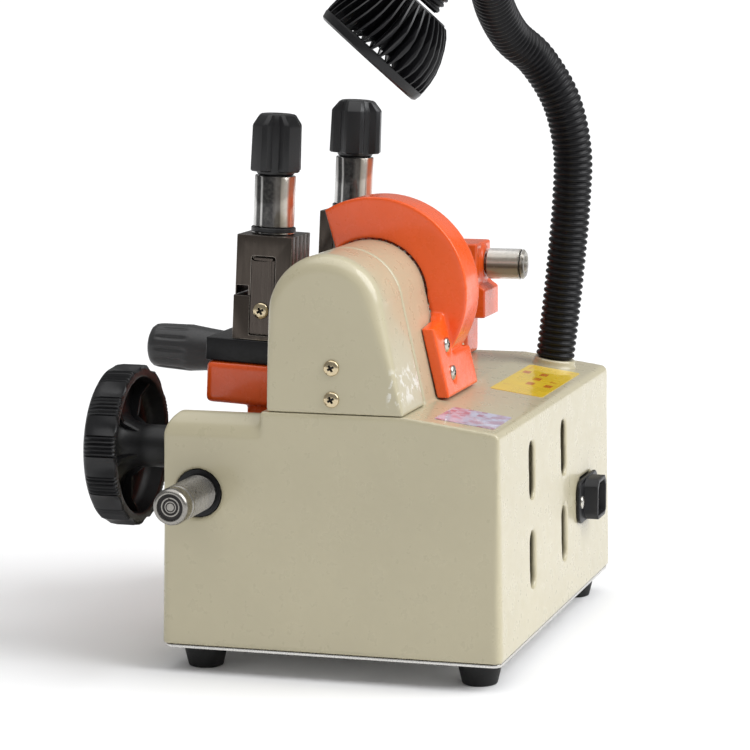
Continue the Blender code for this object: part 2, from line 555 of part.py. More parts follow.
def vise(side, x, pivot):
    """Two-jaw vise: the knob on the stud presses sleeve, collar and upper jaw down on the key."""
    half = VISE_WIDTH / 2
    y0, y1 = VISE_Y - 16.5, VISE_Y + 16.5
    floor = PLATE_Z[1] + GAP
    lower = block("vise_lower_jaw_" + side, (x - half, x + half), (y0, y1), (floor, JAW_SPLIT),
                  "vise_steel", pivot, bevel=0.6)
    upper = block("vise_upper_jaw_" + side, (x - half + 0.4, x + half - 0.4), (y0 + 0.8, y1),
                  (JAW_SPLIT + GAP, VISE_TOP), "vise_steel", pivot, bevel=0.6)
    stud = [(0, 66), (4.5, 66), (4.5, 184), (0, 184)]
    turned("vise_stud_" + side, stud, "z", (x, VISE_Y, 0), "steel", pivot, segments=16)
    for piece, jaw in dict(lower=lower, upper=upper).items():
        cut(jaw, rod("stud_way_%s_%s" % (piece, side), "z", (x, VISE_Y, 0), (60, 150), 5.0,
                     parent=pivot, segments=16))
        # a groove down the outer face guides the upper jaw
        cut(jaw, block("guide_way_%s_%s" % (piece, side), (x + half - 2.9, x + half + 4),
                       (VISE_Y - 6.8, VISE_Y + 7.3), (PLATE_Z[1] + 3, JAW_SPLIT + 22.6), parent=pivot))
    guide = block("vise_guide_" + side, (x + half - 2.6, x + half - 0.2), (VISE_Y - 6.4, VISE_Y + 6.9),
                  (PLATE_Z[1] + 4, JAW_SPLIT + 21.5), "vise_steel", pivot)
    cut(guide, rod("guide_hole_" + side, "x", (0, VISE_Y, 92), (x, x + half + 5), 2.3, parent=pivot,
                   segments=12))
    cut(lower, rod("guide_thread_" + side, "x", (0, VISE_Y, 92), (x + half - 8, x + half + 5), 2.3,
                   parent=pivot, segments=12))
    pan_screw("vise_guide_screw_" + side, "x", (x + half + 0.1, VISE_Y, 92), 6.5, parent=pivot, radius=4.6)

    ring = [(5.0, VISE_TOP + GAP), (12.5, VISE_TOP + GAP), (12.5, VISE_TOP + 3.8), (5.0, VISE_TOP + 3.8)]
    turned("vise_collar_" + side, ring, "z", (x, VISE_Y, 0), "black_oxide", pivot, segments=20)
    tube = [(5.0, 138.1), (11.0, 138.1), (11.5, 138.8), (11.5, 166.5), (5.0, 166.5)]
    turned("vise_sleeve_" + side, tube, "z", (x, VISE_Y, 0), "chrome", pivot, segments=24)
    wings = rounded([(-14.2, -7, 3), (-7, -12.5, 3), (7, -12.5, 3), (14.2, -7, 3), (14.2, 7, 3),
                     (7, 12.5, 3), (-7, 12.5, 3), (-14.2, 7, 3)], 2)
    turn_axis = add_empty("knob_axis_" + side, pivot, (x, VISE_Y, 0))
    knob = extruded("vise_knob_" + side, wings, "z", (166.8, 201), "black_plastic", turn_axis,
                    bevel=(2.4, lambda edge: min(v.co.z for v in edge.verts) > 0.2))
    cut(knob, rod("knob_thread_" + side, "z", (0, 0, 0), (160, 187), 4.8, parent=turn_axis, segments=16))


def tracer():
    """Finger that feels the pattern key, set fore and aft by the knurled screw behind it."""
    shank = [(0, -30), (3.5, -30), (5.6, -28), (5.6, 11), (0, 11)]
    finger = turned("tracer_finger", shank, "y", (TRACER_X, 0, TRACER_Z), "steel", segments=16)
    blade = [(-37.2, -6), (-34, 2.4), (-27, 2.6), (-27, -6)]
    weld(finger, extruded("tracer_blade_shape", [(y, TRACER_Z + z) for y, z in blade], "x",
                          (TRACER_X - 2.5, TRACER_X + 2.5)))
    knob = [(0, 11.6), (4, 11.6), (4, 24.2), (9.3, 24.2), (9.3, 44.6), (8.0, 46.6), (5.0, 46.6),
            (4.2, 47.8), (0, 48.2)]
    turned("tracer_knob", knob, "y", (TRACER_X, 0, TRACER_Z), "chrome")


# ---------------------------------------------------------------- gooseneck and lamp
def neck_points():
    """Centre line from the collar up, over the work and down into the back of the lamp."""
    back = LAMP_RIM + LAMP_AXIS * (LAMP_DEPTH + 1.4)
    start = NECK_BASE + Vector((0.0, 0.13, 1.0)).normalized() * 4.6
    return [start, Vector((-106, 71.7, 182)), Vector((-106, 74.7, 212.5)), Vector((-105, 77.3, 242.4)),
            Vector((-102, 78.3, 272.4)), Vector((-94, 73, 302.3)), Vector((-82, 61.1, 326.2)),
            Vector((-64, 50.4, 340.1)), Vector((-40, 47, 356)), Vector((-14, 48.5, 373)),
            Vector((10, 50, 384)), Vector((27, 46, 386)), back + LAMP_AXIS * 13, back]


def neck_curve(t):
    """Catmull-Rom curve through the centre-line points; t runs from 0 to their count - 1."""
    points = neck_points()
    points = [points[0] * 2 - points[1]] + points + [points[-1] * 2 - points[-2]]
    index = min(int(t), len(points) - 4)
    u = t - index
    p0, p1, p2, p3 = points[index:index + 4]
    return 0.5 * (2 * p1 + (p2 - p0) * u + (2 * p0 - 5 * p1 + 4 * p2 - p3) * u * u
                  + (3 * p1 - p0 - 3 * p2 + p3) * u ** 3)


def neck_piece(name, start, end, dome_end):
    """Tube along a stretch of the neck. A dome at its end lets the next stretch turn on it."""
    count = max(4, round((end - start) * 3))
    bm = bmesh.new()
    rings = []
    places = [start + (end - start) * index / count for index in range(count + 1)]
    centres = [neck_curve(t) for t in places]
    widths = [NECK_RADIUS] * len(centres)
    if dome_end:
        tangent = (neck_curve(end) - neck_curve(end - 0.05)).normalized()
        for angle in (30, 60, 90):
            centres.append(centres[count] + tangent * NECK_RADIUS * math.sin(math.radians(angle)))
            widths.append(NECK_RADIUS * math.cos(math.radians(angle)))
    side = Vector((0.0, 1.0, 0.0))
    for index, centre in enumerate(centres):
        ahead = centres[min(index + 1, len(centres) - 1)] - centres[max(index - 1, 0)]
        ahead.normalize()
        side = (side - ahead * side.dot(ahead)).normalized()
        other = ahead.cross(side)
        ring = []
        for step in range(16):
            angle = math.tau * step / 16
            offset = side * math.cos(angle) + other * math.sin(angle)
            ring.append(bm.verts.new((centre + offset * max(widths[index], 0.001)) * MM))
        rings.append(ring)
    for first, second in zip(rings, rings[1:]):
        for step in range(16):
            after = (step + 1) % 16
            bm.faces.new((first[step], first[after], second[after], second[step]))
    bm.faces.new(rings[0])
    bm.faces.new(rings[-1])
    return add_object(name, finish_mesh(bm, name, smooth=True), "black_plastic")


def gooseneck():
    low, high = NECK_JOINTS
    end = len(neck_points()) - 1
    dome = NECK_RADIUS + 0.6

    def after(t):
        reach = t
        while (neck_curve(reach) - neck_curve(t)).length < dome:
            reach += 0.005
        return reach

    neck_piece("gooseneck_lower", 0, low, True)
    neck_piece("gooseneck_middle", after(low), high, True)
    neck_piece("gooseneck_upper", after(high), end, False)


def lamp():
    """Finned bowl around a lens; its back takes the end of the gooseneck."""
    turn = LAMP_AXIS.to_track_quat("Z", "Y").to_euler()
    bowl = [(31, 0), (33, 0), (35.0, 5), (34.8, 15), (30.3, 28.8), (23.7, 39.4), (20, LAMP_DEPTH),
            (5, LAMP_DEPTH), (5, 12), (16, 12), (29, 6)]
    turned("lamp_housing", bowl, "z", LAMP_RIM, "black_plastic", turn=turn, segments=32)
    lens = [(0, 2.4), (28.5, 2.4), (28.5, 5.4), (0, 5.4)]
    turned("lamp_lens", lens, "z", LAMP_RIM, "lamp_glass", turn=turn, segments=32)


# ---------------------------------------------------------------- build
for old in list(bpy.data.objects):
    bpy.data.objects.remove(old, do_unlink=True)
MATERIALS = {name: make_material(name) for name in FINISHES}
MACHINE = add_empty("machine", location=-ORIGIN)
base_casting()
bottom_plate()
feet()
belt_cover()
cutter_guard()
tracer_bracket()
base_fittings()
drive()
rack_drive()
carriage()
tracer()
gooseneck()
lamp()
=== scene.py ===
"""Looks of the key duplicating machine: every visible piece, its finish, the light and the camera.

The machine's own frame, used for all places below, is in millimetres: X to the operator's right,
Y to the back, Z up, from the middle of the cast base and the surface that the feet stand on.
"""
import bisect
import json
import math

import bmesh
import bpy
from mathutils import Matrix, Vector


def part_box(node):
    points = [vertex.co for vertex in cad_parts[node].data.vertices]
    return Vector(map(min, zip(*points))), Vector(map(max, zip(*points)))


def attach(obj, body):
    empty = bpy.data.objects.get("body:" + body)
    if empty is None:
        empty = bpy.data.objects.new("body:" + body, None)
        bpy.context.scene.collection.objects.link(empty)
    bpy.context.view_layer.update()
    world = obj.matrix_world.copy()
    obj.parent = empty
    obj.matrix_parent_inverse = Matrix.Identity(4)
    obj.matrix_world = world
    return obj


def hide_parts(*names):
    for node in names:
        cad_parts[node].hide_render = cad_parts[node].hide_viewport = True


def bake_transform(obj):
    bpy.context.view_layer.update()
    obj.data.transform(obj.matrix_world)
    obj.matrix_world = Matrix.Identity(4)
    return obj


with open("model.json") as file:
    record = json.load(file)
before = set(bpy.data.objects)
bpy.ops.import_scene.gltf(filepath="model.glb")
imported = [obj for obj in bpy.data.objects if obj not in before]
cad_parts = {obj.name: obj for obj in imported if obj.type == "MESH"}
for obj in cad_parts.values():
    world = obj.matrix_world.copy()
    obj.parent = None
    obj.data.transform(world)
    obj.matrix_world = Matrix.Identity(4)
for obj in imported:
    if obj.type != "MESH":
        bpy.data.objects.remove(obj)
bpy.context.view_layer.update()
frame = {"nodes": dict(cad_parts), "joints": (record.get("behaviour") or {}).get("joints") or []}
MM = 0.001

# ---------------------------------------------------------------- the frame that the CAD gives
base_low, base_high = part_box("base_casting")
MACHINE = Vector(((base_low.x + base_high.x) / 2, (base_low.y + base_high.y) / 2, 0.0))
PLACE = Matrix.Translation(MACHINE) @ Matrix.Scale(MM, 4)      # machine millimetres to row metres
JOINTS = {joint["name"]: joint for joint in frame["joints"]}


def machine_point(point):
    """A point in row metres as machine millimetres."""
    return (Vector(point) - MACHINE) / MM


def span(node):
    """Lowest and highest corner of a CAD node in machine millimetres."""
    low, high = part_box(node)
    return machine_point(low), machine_point(high)


def middle(node):
    low, high = span(node)
    return (low + high) / 2


BASE_LOW, BASE_HIGH = span("base_casting")
HALF_WIDTH = BASE_HIGH.x
HALF_DEPTH = BASE_HIGH.y
BASE_BOTTOM = BASE_LOW.z
DECK = 146.0
BACK_TOP = 139.0
SLOPE_START = 43.0
DRAFT = 2.2
WALL = 7.0
BAY_X = (-112.0, 78.0)
BAY_BACK = -38.5
BAY_FLOOR = 74.0
LEFT_EAR_TOP = 124.0
RIGHT_EAR_ROUND = 15.0
RIGHT_EAR_LOW = 135.0
HANDLE_Z = 53.0

SPINDLE = middle("spindle")
ARCH_RADIUS = 31.5
HEAD_FRONT = -35.0
HEAD_BACK = 41.2
HEAD_LEFT = 44.0
COVER_LOW, COVER_HIGH = span("belt_cover")
HEAD_LEAN = math.atan2(HEAD_BACK - SPINDLE.y - ARCH_RADIUS, SPINDLE.z - DECK)
GUARD_X = (17.0, 45.0)
GUARD_CENTRE = (-1.8, 200.8)
GUARD_RADIUS = 53.8
FLANGE_X = (6.0, 70.0)
FLANGE = (0.8, 7.8)
VENT_X = (63.0, -15.0)
VENT_Z = (108.0, 58.2)

SHAFT = middle("rack_shaft")
SHAFT_ENDS = [corner.x for corner in span("rack_shaft")]
SHAFT_RADIUS = 10.0
WHEEL = middle("handwheel")
WHEEL_RADIUS = 45.0
WHEEL_FRONT = span("handwheel")[0].y

VISE_AXIS = Vector(JOINTS["right_jaw_lift"]["axis"])
LEAN = math.atan2(VISE_AXIS.y, VISE_AXIS.z)
# the carriage's own frame: origin on the rack shaft, Z along the vise studs
CARRIAGE = PLACE @ Matrix.Translation((0, SHAFT.y, SHAFT.z)) @ Matrix.Rotation(-LEAN, 4, "X")
VISE_X = {side: middle("vise_knob_" + side).x for side in ("right", "left")}
VISE_Y = 9.0
PLATE_TOP = 75.0
JAW_SPLIT = 100.0
VISE_TOP = 134.0

TRACER = middle("tracer_knob")
LAMP_AXIS = Vector((-0.2075, 0.6405, 0.7393)).normalized()
LAMP_RIM = middle("lamp_lens") - LAMP_AXIS * 3.9
NECK_RADIUS = 11.7
BEND_REACH = 45.0                # length of the vector taken along the gooseneck at each bend's place; that vector is not used

# ---------------------------------------------------------------- materials


class Nodes:
    """Short way to build a node tree."""

    def __init__(self, name):
        self.material = bpy.data.materials.new(name)
        self.material.use_nodes = True
        self.tree = self.material.node_tree
        self.shader = self.tree.nodes["Principled BSDF"]
        self.coords = self.add("ShaderNodeTexCoord").outputs["Object"]

    def add(self, kind, **settings):
        node = self.tree.nodes.new(kind)
        for key, value in settings.items():
            setattr(node, key, value)
        return node

    def link(self, source, target):
        self.tree.links.new(source, target)

    def stretched(self, scale):
        node = self.add("ShaderNodeMapping")
        node.inputs["Scale"].default_value = scale
        self.link(self.coords, node.inputs["Vector"])
        return node.outputs["Vector"]

    def noise(self, scale, detail=3.0, roughness=0.5, vector=None, distortion=0.0):
        node = self.add("ShaderNodeTexNoise")
        node.inputs["Scale"].default_value = scale
        node.inputs["Detail"].default_value = detail
        node.inputs["Roughness"].default_value = roughness
        node.inputs["Distortion"].default_value = distortion
        self.link(vector or self.coords, node.inputs["Vector"])
        return node.outputs["Fac"]

    def ramp(self, factor, stops):
        """One range of values brought onto another: (from, to), (low, high)."""
        node = self.add("ShaderNodeMapRange")
        (node.inputs["From Min"].default_value, node.inputs["From Max"].default_value) = stops[0]
        (node.inputs["To Min"].default_value, node.inputs["To Max"].default_value) = stops[1]
        self.link(factor, node.inputs["Value"])
        return node.outputs["Result"]

    def math(self, operation, first, second=None):
        """Arithmetic on one or two values; the second is a number or an output."""
        node = self.add("ShaderNodeMath", operation=operation)
        self.link(first, node.inputs[0])
        if isinstance(second, float):
            node.inputs[1].default_value = second
        elif second:
            self.link(second, node.inputs[1])
        return node.outputs[0]

    def mix(self, factor, first, second):
        """Colour mix; first and second are colours or outputs."""
        node = self.add("ShaderNodeMix", data_type="RGBA")
        self.link(factor, node.inputs["Factor"])
        for socket, value in ((node.inputs[6], first), (node.inputs[7], second)):
            if isinstance(value, tuple):
                socket.default_value = (*value, 1.0)
            else:
                self.link(value, socket)
        return node.outputs[2]

    def bands(self, factor, stops):
        """Colour along a factor; stops are (place, colour)."""
        node = self.add("ShaderNodeValToRGB")
        ramp = node.color_ramp
        while len(ramp.elements) < len(stops):
            ramp.elements.new(0.5)
        for element, (place_at, colour) in zip(ramp.elements, stops):
            element.position = place_at
            element.color = (*colour, 1.0)
        self.link(factor, node.inputs["Fac"])
        return node.outputs["Color"]

    def bump(self, height, strength, distance, normal=None):
        node = self.add("ShaderNodeBump")
        node.inputs["Strength"].default_value = strength
        node.inputs["Distance"].default_value = distance
        self.link(height, node.inputs["Height"])
        if normal:
            self.link(normal, node.inputs["Normal"])
        return node.outputs["Normal"]


def shade(colour, factor):
    return tuple(min(1.0, channel * factor) for channel in colour)


def finish(name, colour, roughness, metallic=0.0, patches=0.08, grain=900.0, grain_depth=0.00002,
           stretch=None, specks=None, speck_level=0.72, shine=0.5):
    """Principled surface with patchy colour, uneven roughness, fine grain and specks."""
    nodes = Nodes(name)
    shader = nodes.shader
    shader.inputs["Metallic"].default_value = metallic
    shader.inputs["Specular IOR Level"].default_value = shine
    vector = nodes.stretched(stretch) if stretch else nodes.coords
    broad = nodes.ramp(nodes.noise(14.0, 4.0, 0.6), ((0.3, 0.7), (0.0, 1.0)))
    tone = nodes.mix(broad, shade(colour, 1 - patches), shade(colour, 1 + patches))
    fine = nodes.noise(grain, 3.0, 0.6, vector)
    tone = nodes.mix(nodes.ramp(fine, ((0.35, 0.75), (0.0, 0.35))), tone, shade(colour, 1 - 2.2 * patches))
    rough = nodes.ramp(fine, ((0.3, 0.7), (roughness - 0.08, roughness + 0.08)))
    if specks:
        mask = nodes.ramp(nodes.noise(160.0, 2.0, 0.7, distortion=0.6),
                          ((speck_level, speck_level + 0.015), (0.0, 1.0)))
        tone = nodes.mix(mask, tone, specks)
    nodes.link(tone, shader.inputs["Base Color"])
    nodes.link(rough, shader.inputs["Roughness"])
    nodes.link(nodes.bump(fine, 0.5, grain_depth), shader.inputs["Normal"])
    return nodes.material


def painted(name, colour, chip_colour=None, chip_box=None, roughness=0.3, peel=0.00007):
    """Enamel over a casting: orange peel, faint runs, small pits, and chips inside a box of places."""
    nodes = Nodes(name)
    shader = nodes.shader
    shader.inputs["Coat Weight"].default_value = 0.35
    shader.inputs["Coat Roughness"].default_value = 0.09
    broad = nodes.ramp(nodes.noise(9.0, 4.0, 0.6), ((0.3, 0.7), (0.0, 1.0)))
    tone = nodes.mix(broad, shade(colour, 0.955), shade(colour, 1.035))
    mottled = nodes.ramp(nodes.noise(75.0, 2.0, 0.5), ((0.30, 0.80), (0.0, 0.12)))
    tone = nodes.mix(mottled, tone, shade(colour, 0.90))
    pits = nodes.ramp(nodes.noise(420.0, 1.0, 0.5), ((0.84, 0.90), (0.0, 0.10)))
    tone = nodes.mix(pits, tone, shade(colour, 0.6))
    if chip_box:
        low, high = chip_box
        split = nodes.add("ShaderNodeSeparateXYZ")
        nodes.link(nodes.coords, split.inputs["Vector"])
        chips = nodes.ramp(nodes.noise(170.0, 4.0, 0.65, distortion=0.5), ((0.52, 0.57), (0.0, 0.9)))
        for axis in range(3):
            reach = (high[axis] - low[axis]) / 2
            away = nodes.math("SUBTRACT", split.outputs[axis], (low[axis] + high[axis]) / 2)
            near = nodes.ramp(nodes.math("ABSOLUTE", away), ((reach * 0.6, reach), (1.0, 0.0)))
            chips = nodes.math("MULTIPLY", chips, near)
        tone = nodes.mix(chips, tone, chip_colour)
    nodes.link(tone, shader.inputs["Base Color"])
    rough = nodes.ramp(nodes.noise(120.0, 4.0, 0.6), ((0.3, 0.7), (roughness - 0.06, roughness + 0.08)))
    nodes.link(rough, shader.inputs["Roughness"])
    orange_peel = nodes.bump(nodes.noise(240.0, 2.0, 0.45), 0.3, peel)
    nodes.link(nodes.bump(nodes.noise(26.0, 2.0, 0.5), 0.6, peel * 5, orange_peel), shader.inputs["Normal"])
    return nodes.material


def plating_with_painted_reflections(name, painted_reflection_across, stops, roughness=0.14):
    """Bright plating on a turned piece, with painted reflections: colour bands set by which way each face
    turns, not by the lights.
    """
    nodes = Nodes(name)
    shader = nodes.shader
    shader.inputs["Metallic"].default_value = 0.35
    facing = nodes.add("ShaderNodeTexCoord").outputs["Normal"]
    # painted reflection: how far a face turns towards one fixed direction picks its colour band
    side = nodes.add("ShaderNodeVectorMath", operation="DOT_PRODUCT")
    side.inputs[1].default_value = painted_reflection_across
    nodes.link(facing, side.inputs[0])
    waver = nodes.ramp(nodes.noise(30.0, 3.0, 0.6), ((0.3, 0.7), (-0.02, 0.02)))
    shifted = nodes.math("ADD", side.outputs["Value"], waver)
    tone = nodes.bands(nodes.ramp(shifted, ((-1.0, 1.0), (0.0, 1.0))), stops)
    dull = nodes.ramp(nodes.noise(420.0, 3.0, 0.6), ((0.4, 0.8), (0.0, 0.3)))
    nodes.link(nodes.mix(dull, tone, (0.25, 0.24, 0.22)), shader.inputs["Base Color"])
    rough = nodes.ramp(nodes.noise(160.0, 3.0, 0.6), ((0.3, 0.7), (roughness - 0.05, roughness + 0.08)))
    nodes.link(rough, shader.inputs["Roughness"])
    nodes.link(nodes.bump(nodes.noise(500.0), 0.3, 0.000004), shader.inputs["Normal"])
    return nodes.material


def lens_glass():
    nodes = Nodes("frosted_lens")
    shader = nodes.shader
    shader.inputs["Transmission Weight"].default_value = 0.35
    shader.inputs["IOR"].default_value = 1.49
    wave = nodes.add("ShaderNodeTexVoronoi")
    wave.inputs["Scale"].default_value = 420.0
    nodes.link(nodes.coords, wave.inputs["Vector"])
    tone = nodes.mix(nodes.ramp(wave.outputs["Distance"], ((0.0, 0.6), (0.0, 1.0))),
                     (0.90, 0.92, 0.92), (0.70, 0.73, 0.74))
    nodes.link(tone, shader.inputs["Base Color"])
    nodes.link(nodes.ramp(wave.outputs["Distance"], ((0.0, 0.6), (0.12, 0.3))), shader.inputs["Roughness"])
    nodes.link(nodes.bump(wave.outputs["Distance"], 0.5, 0.0003), shader.inputs["Normal"])
    return nodes.material


CREAM = (0.495, 0.448, 0.305)
ORANGE = (0.93, 0.112, 0.011)
BLACK = (0.010, 0.010, 0.011)

MATERIALS = dict(
    cream=painted("cream_enamel", CREAM),
    cream_cover=painted("cream_enamel_chipped", CREAM, (0.72, 0.70, 0.63),
                        ((-1, 0.060, 0.150), (1, 0.071, 0.172))),
    orange=painted("orange_enamel", ORANGE, roughness=0.27, peel=0.00022),
    plastic=finish("moulded_black", BLACK, 0.40, grain=1600.0, grain_depth=0.00003, patches=0.15,
                   shine=0.35),
    knob=finish("knob_black", (0.012, 0.012, 0.013), 0.36, grain=1100.0, grain_depth=0.00002, patches=0.18,
                shine=0.4),
    grip=finish("grip_black", (0.032, 0.032, 0.033), 0.42, grain=900.0, grain_depth=0.00003, patches=0.18),
    neck=finish("neck_black", (0.005, 0.005, 0.006), 0.35, grain=900.0, grain_depth=0.00002, patches=0.15,
                shine=0.22),
    lamp=finish("lamp_black", (0.007, 0.007, 0.008), 0.34, grain=1300.0, grain_depth=0.00002, patches=0.2,
                shine=0.4),
    rubber=finish("foot_rubber", (0.012, 0.012, 0.012), 0.62, grain=1500.0, grain_depth=0.00005, patches=0.2,
                  shine=0.3),
    belt=finish("belt_rubber", (0.02, 0.02, 0.02), 0.7, grain=900.0, grain_depth=0.00008, patches=0.2),
    oxide=finish("black_oxide", (0.009, 0.009, 0.010), 0.36, 0.3, grain=700.0, patches=0.25, shine=0.4,
                 specks=(0.06, 0.055, 0.05), speck_level=0.76),
    motor=finish("motor_black", (0.02, 0.02, 0.022), 0.45, 0.2, grain=500.0, grain_depth=0.00008,
                 patches=0.25),
    vise=finish("ground_steel", (0.070, 0.057, 0.047), 0.33, 0.75, grain=420.0, patches=0.2,
                grain_depth=0.000012, stretch=(6.0, 1.0, 0.12), specks=(0.16, 0.14, 0.12), speck_level=0.77),
    vise_edge=finish("worn_edge", (0.30, 0.27, 0.24), 0.28, 1.0, grain=420.0, patches=0.2),
    guide=finish("guide_steel", (0.085, 0.070, 0.060), 0.28, 0.8, grain=420.0, patches=0.14,
                 grain_depth=0.000012, stretch=(1.0, 6.0, 0.12)),
    # painted reflections: dark and light bands by how a face turns across the camera's view, orange bands
    # standing for the reflected orange casting
    chrome=plating_with_painted_reflections("chrome", (-0.28, 0.96, 0.0), (
        (0.0, (0.80, 0.79, 0.77)), (0.06, (0.75, 0.74, 0.72)), (0.10, (0.02, 0.02, 0.02)),
        (0.17, (0.04, 0.04, 0.04)), (0.20, (0.80, 0.79, 0.77)), (0.24, (0.03, 0.03, 0.03)),
        (0.46, (0.03, 0.028, 0.028)), (0.55, (0.14, 0.13, 0.12)), (0.64, (0.10, 0.09, 0.08)),
        (0.68, (0.40, 0.36, 0.30)), (0.80, (0.62, 0.58, 0.52)), (0.86, (0.55, 0.13, 0.05)),
        (0.94, (0.60, 0.16, 0.07)), (1.0, (0.80, 0.78, 0.75)))),
    # painted reflections and highlights: bands by how far a face turns up or down, a dark band just below
    # level and a bright one just above
    satin_painted_reflections=plating_with_painted_reflections("satin_plating_painted_reflections", (0.0, 0.0, 1.0), (
        (0.0, (0.90, 0.89, 0.86)), (0.12, (0.70, 0.68, 0.62)), (0.22, (0.36, 0.33, 0.26)),
        (0.38, (0.30, 0.26, 0.20)), (0.44, (0.14, 0.11, 0.09)), (0.52, (0.30, 0.27, 0.22)),
        (0.58, (0.78, 0.76, 0.70)), (0.66, (0.46, 0.43, 0.37)), (0.84, (0.62, 0.59, 0.53)),
        (1.0, (0.92, 0.91, 0.88))), 0.2),
    steel=finish("turned_steel", (0.50, 0.48, 0.46), 0.26, 1.0, grain=800.0, grain_depth=0.00001,
                 patches=0.12, stretch=(8.0, 1.0, 1.0), specks=(0.16, 0.14, 0.12), speck_level=0.74),
    rack=finish("rack_steel", (0.34, 0.325, 0.30), 0.28, 1.0, grain=800.0, grain_depth=0.00001,
                patches=0.16, stretch=(8.0, 1.0, 1.0), specks=(0.07, 0.06, 0.05), speck_level=0.72),
    dark_end=finish("centre_drilled_face", (0.030, 0.028, 0.027), 0.42, 0.7, grain=900.0, patches=0.2),
    sheet=finish("bright_sheet", (0.66, 0.65, 0.63), 0.26, 1.0, grain=260.0, grain_depth=0.00001,
                 stretch=(0.2, 4.0, 1.0)),
    zinc=finish("yellow_zinc", (0.60, 0.50, 0.33), 0.22, 1.0, grain=900.0, patches=0.18, grain_depth=0.00001,
                specks=(0.20, 0.16, 0.10), speck_level=0.72),
    nickel=finish("nickel_screw", (0.62, 0.60, 0.55), 0.22, 1.0, patches=0.1, grain_depth=0.00001),
    cutter=finish("cutter_steel", (0.48, 0.46, 0.42), 0.22, 1.0, grain=700.0, patches=0.1,
                  grain_depth=0.00001),
    lens=lens_glass(),
    # painted highlight: lighter grey for the bevelled edges of black plastic
    socket_edge_painted_highlight=finish("edge_painted_highlight", (0.09, 0.09, 0.085), 0.35, grain=1600.0, patches=0.15),
    # painted shade: near-black finish for the inside of screw recesses
    recess_painted_shade=finish("screw_recess_painted_shade", (0.025, 0.021, 0.015), 0.55, 0.3, grain=900.0, patches=0.3),
)

# ---------------------------------------------------------------- modelling helpers
# turns a Z axis to the named one
UPRIGHT = {"x": Matrix.Rotation(math.pi / 2, 4, "Y"), "y": Matrix.Rotation(-math.pi / 2, 4, "X"),
           "z": Matrix.Identity(4)}


def new_object(name, bm, finish_name=None):
    bmesh.ops.recalc_face_normals(bm, faces=bm.faces)
    mesh = bpy.data.meshes.new(name)
    bm.to_mesh(mesh)
    bm.free()
    obj = bpy.data.objects.new(name, mesh)
    bpy.context.scene.collection.objects.link(obj)
    if finish_name:
        mesh.materials.append(MATERIALS[finish_name])
    return obj


def arc(centre, radius, start, end, steps):
    points = []
    for step in range(steps + 1):
        angle = math.radians(start + (end - start) * step / steps)
        points.append((centre[0] + radius * math.cos(angle), centre[1] + radius * math.sin(angle)))
    return points


def angles(count):
    """Evenly spaced angles of a full turn."""
    return [math.tau * step / count for step in range(count)]


def rounded(corners, steps=5):
    """Outline with each corner (a, b, radius) replaced by an arc."""
    points = []
    count = len(corners)
    for index, (a, b, radius) in enumerate(corners):
        here = Vector((a, b))
        if radius <= 0:
            points.append((a, b))
            continue
        before = (Vector(corners[index - 1][:2]) - here).normalized()
        after = (Vector(corners[(index + 1) % count][:2]) - here).normalized()
        half = before.angle(after) / 2
        centre = here + (before + after).normalized() * radius / math.sin(half)
        first = here + before * radius / math.tan(half) - centre
        last = here + after * radius / math.tan(half) - centre
        sweep = first.angle_signed(last)
        for step in range(steps + 1):
            point = centre + Matrix.Rotation(-sweep * step / steps, 2) @ first
            points.append((point.x, point.y))
    return points


def prism(name, outline, axis, limits, finish_name=None, bevel=None, segments=3):
    """Extruded outline, in YZ, XZ or XY. Bevel is (width, test of an edge)."""
    place = dict(x=lambda a, b, c: (c, a, b), y=lambda a, b, c: (a, c, b), z=lambda a, b, c: (a, b, c))[axis]
    bm = bmesh.new()
    low = [bm.verts.new(place(a, b, limits[0])) for a, b in outline]
    high = [bm.verts.new(place(a, b, limits[1])) for a, b in outline]
    bm.faces.new(low)
    bm.faces.new(high)
    for index in range(len(outline)):
        after = (index + 1) % len(outline)
        bm.faces.new((low[index], low[after], high[after], high[index]))
    if bevel:
        width, test = bevel
        edges = [edge for edge in bm.edges if test(edge)]
        bmesh.ops.bevel(bm, geom=edges, offset=width, segments=segments, profile=0.5, affect="EDGES")
    return new_object(name, bm, finish_name)


def any_edge(edge):
    return True


def block(name, x, y, z, finish_name=None, bevel=0.0, segments=3):
    outline = [(x[0], y[0]), (x[1], y[0]), (x[1], y[1]), (x[0], y[1])]
    return prism(name, outline, "z", z, finish_name, (bevel, any_edge) if bevel else None, segments)


def turned(name, profile, axis, at, finish_name=None, segments=48):
    """Spin (radius, height) points about an axis through a place."""
    bm = bmesh.new()
    points = [bm.verts.new((radius, 0.0, height)) for radius, height in profile]
    edges = [bm.edges.new(pair) for pair in zip(points, points[1:])]
    if profile[0][0] > 0 and profile[-1][0] > 0:
        edges.append(bm.edges.new((points[-1], points[0])))
    bmesh.ops.spin(bm, geom=points + edges, axis=(0, 0, 1), cent=(0, 0, 0), steps=segments,
                   angle=math.tau, use_merge=True)
    bmesh.ops.remove_doubles(bm, verts=bm.verts, dist=1e-4)
    turn = UPRIGHT[axis] if isinstance(axis, str) else axis
    bm.transform(Matrix.Translation(at) @ turn)
    return new_object(name, bm, finish_name)


def rod(name, axis, at, limits, radius, finish_name=None, segments=32):
    profile = [(0, limits[0]), (radius, limits[0]), (radius, limits[1]), (0, limits[1])]
    return turned(name, profile, axis, at, finish_name, segments)


def shaped(name, rings, finish_name=None, closed=True):
    """Skin over rings of points, each with the same count; the two ends are capped if closed."""
    bm = bmesh.new()
    rows = [[bm.verts.new(point) for point in ring] for ring in rings]
    count = len(rings[0])
    for first, second in zip(rows, rows[1:]):
        for index in range(count):
            after = (index + 1) % count
            bm.faces.new((first[index], first[after], second[after], second[index]))
    if closed:
        bm.faces.new(rows[0])
        bm.faces.new(rows[-1])
    return new_object(name, bm, finish_name)


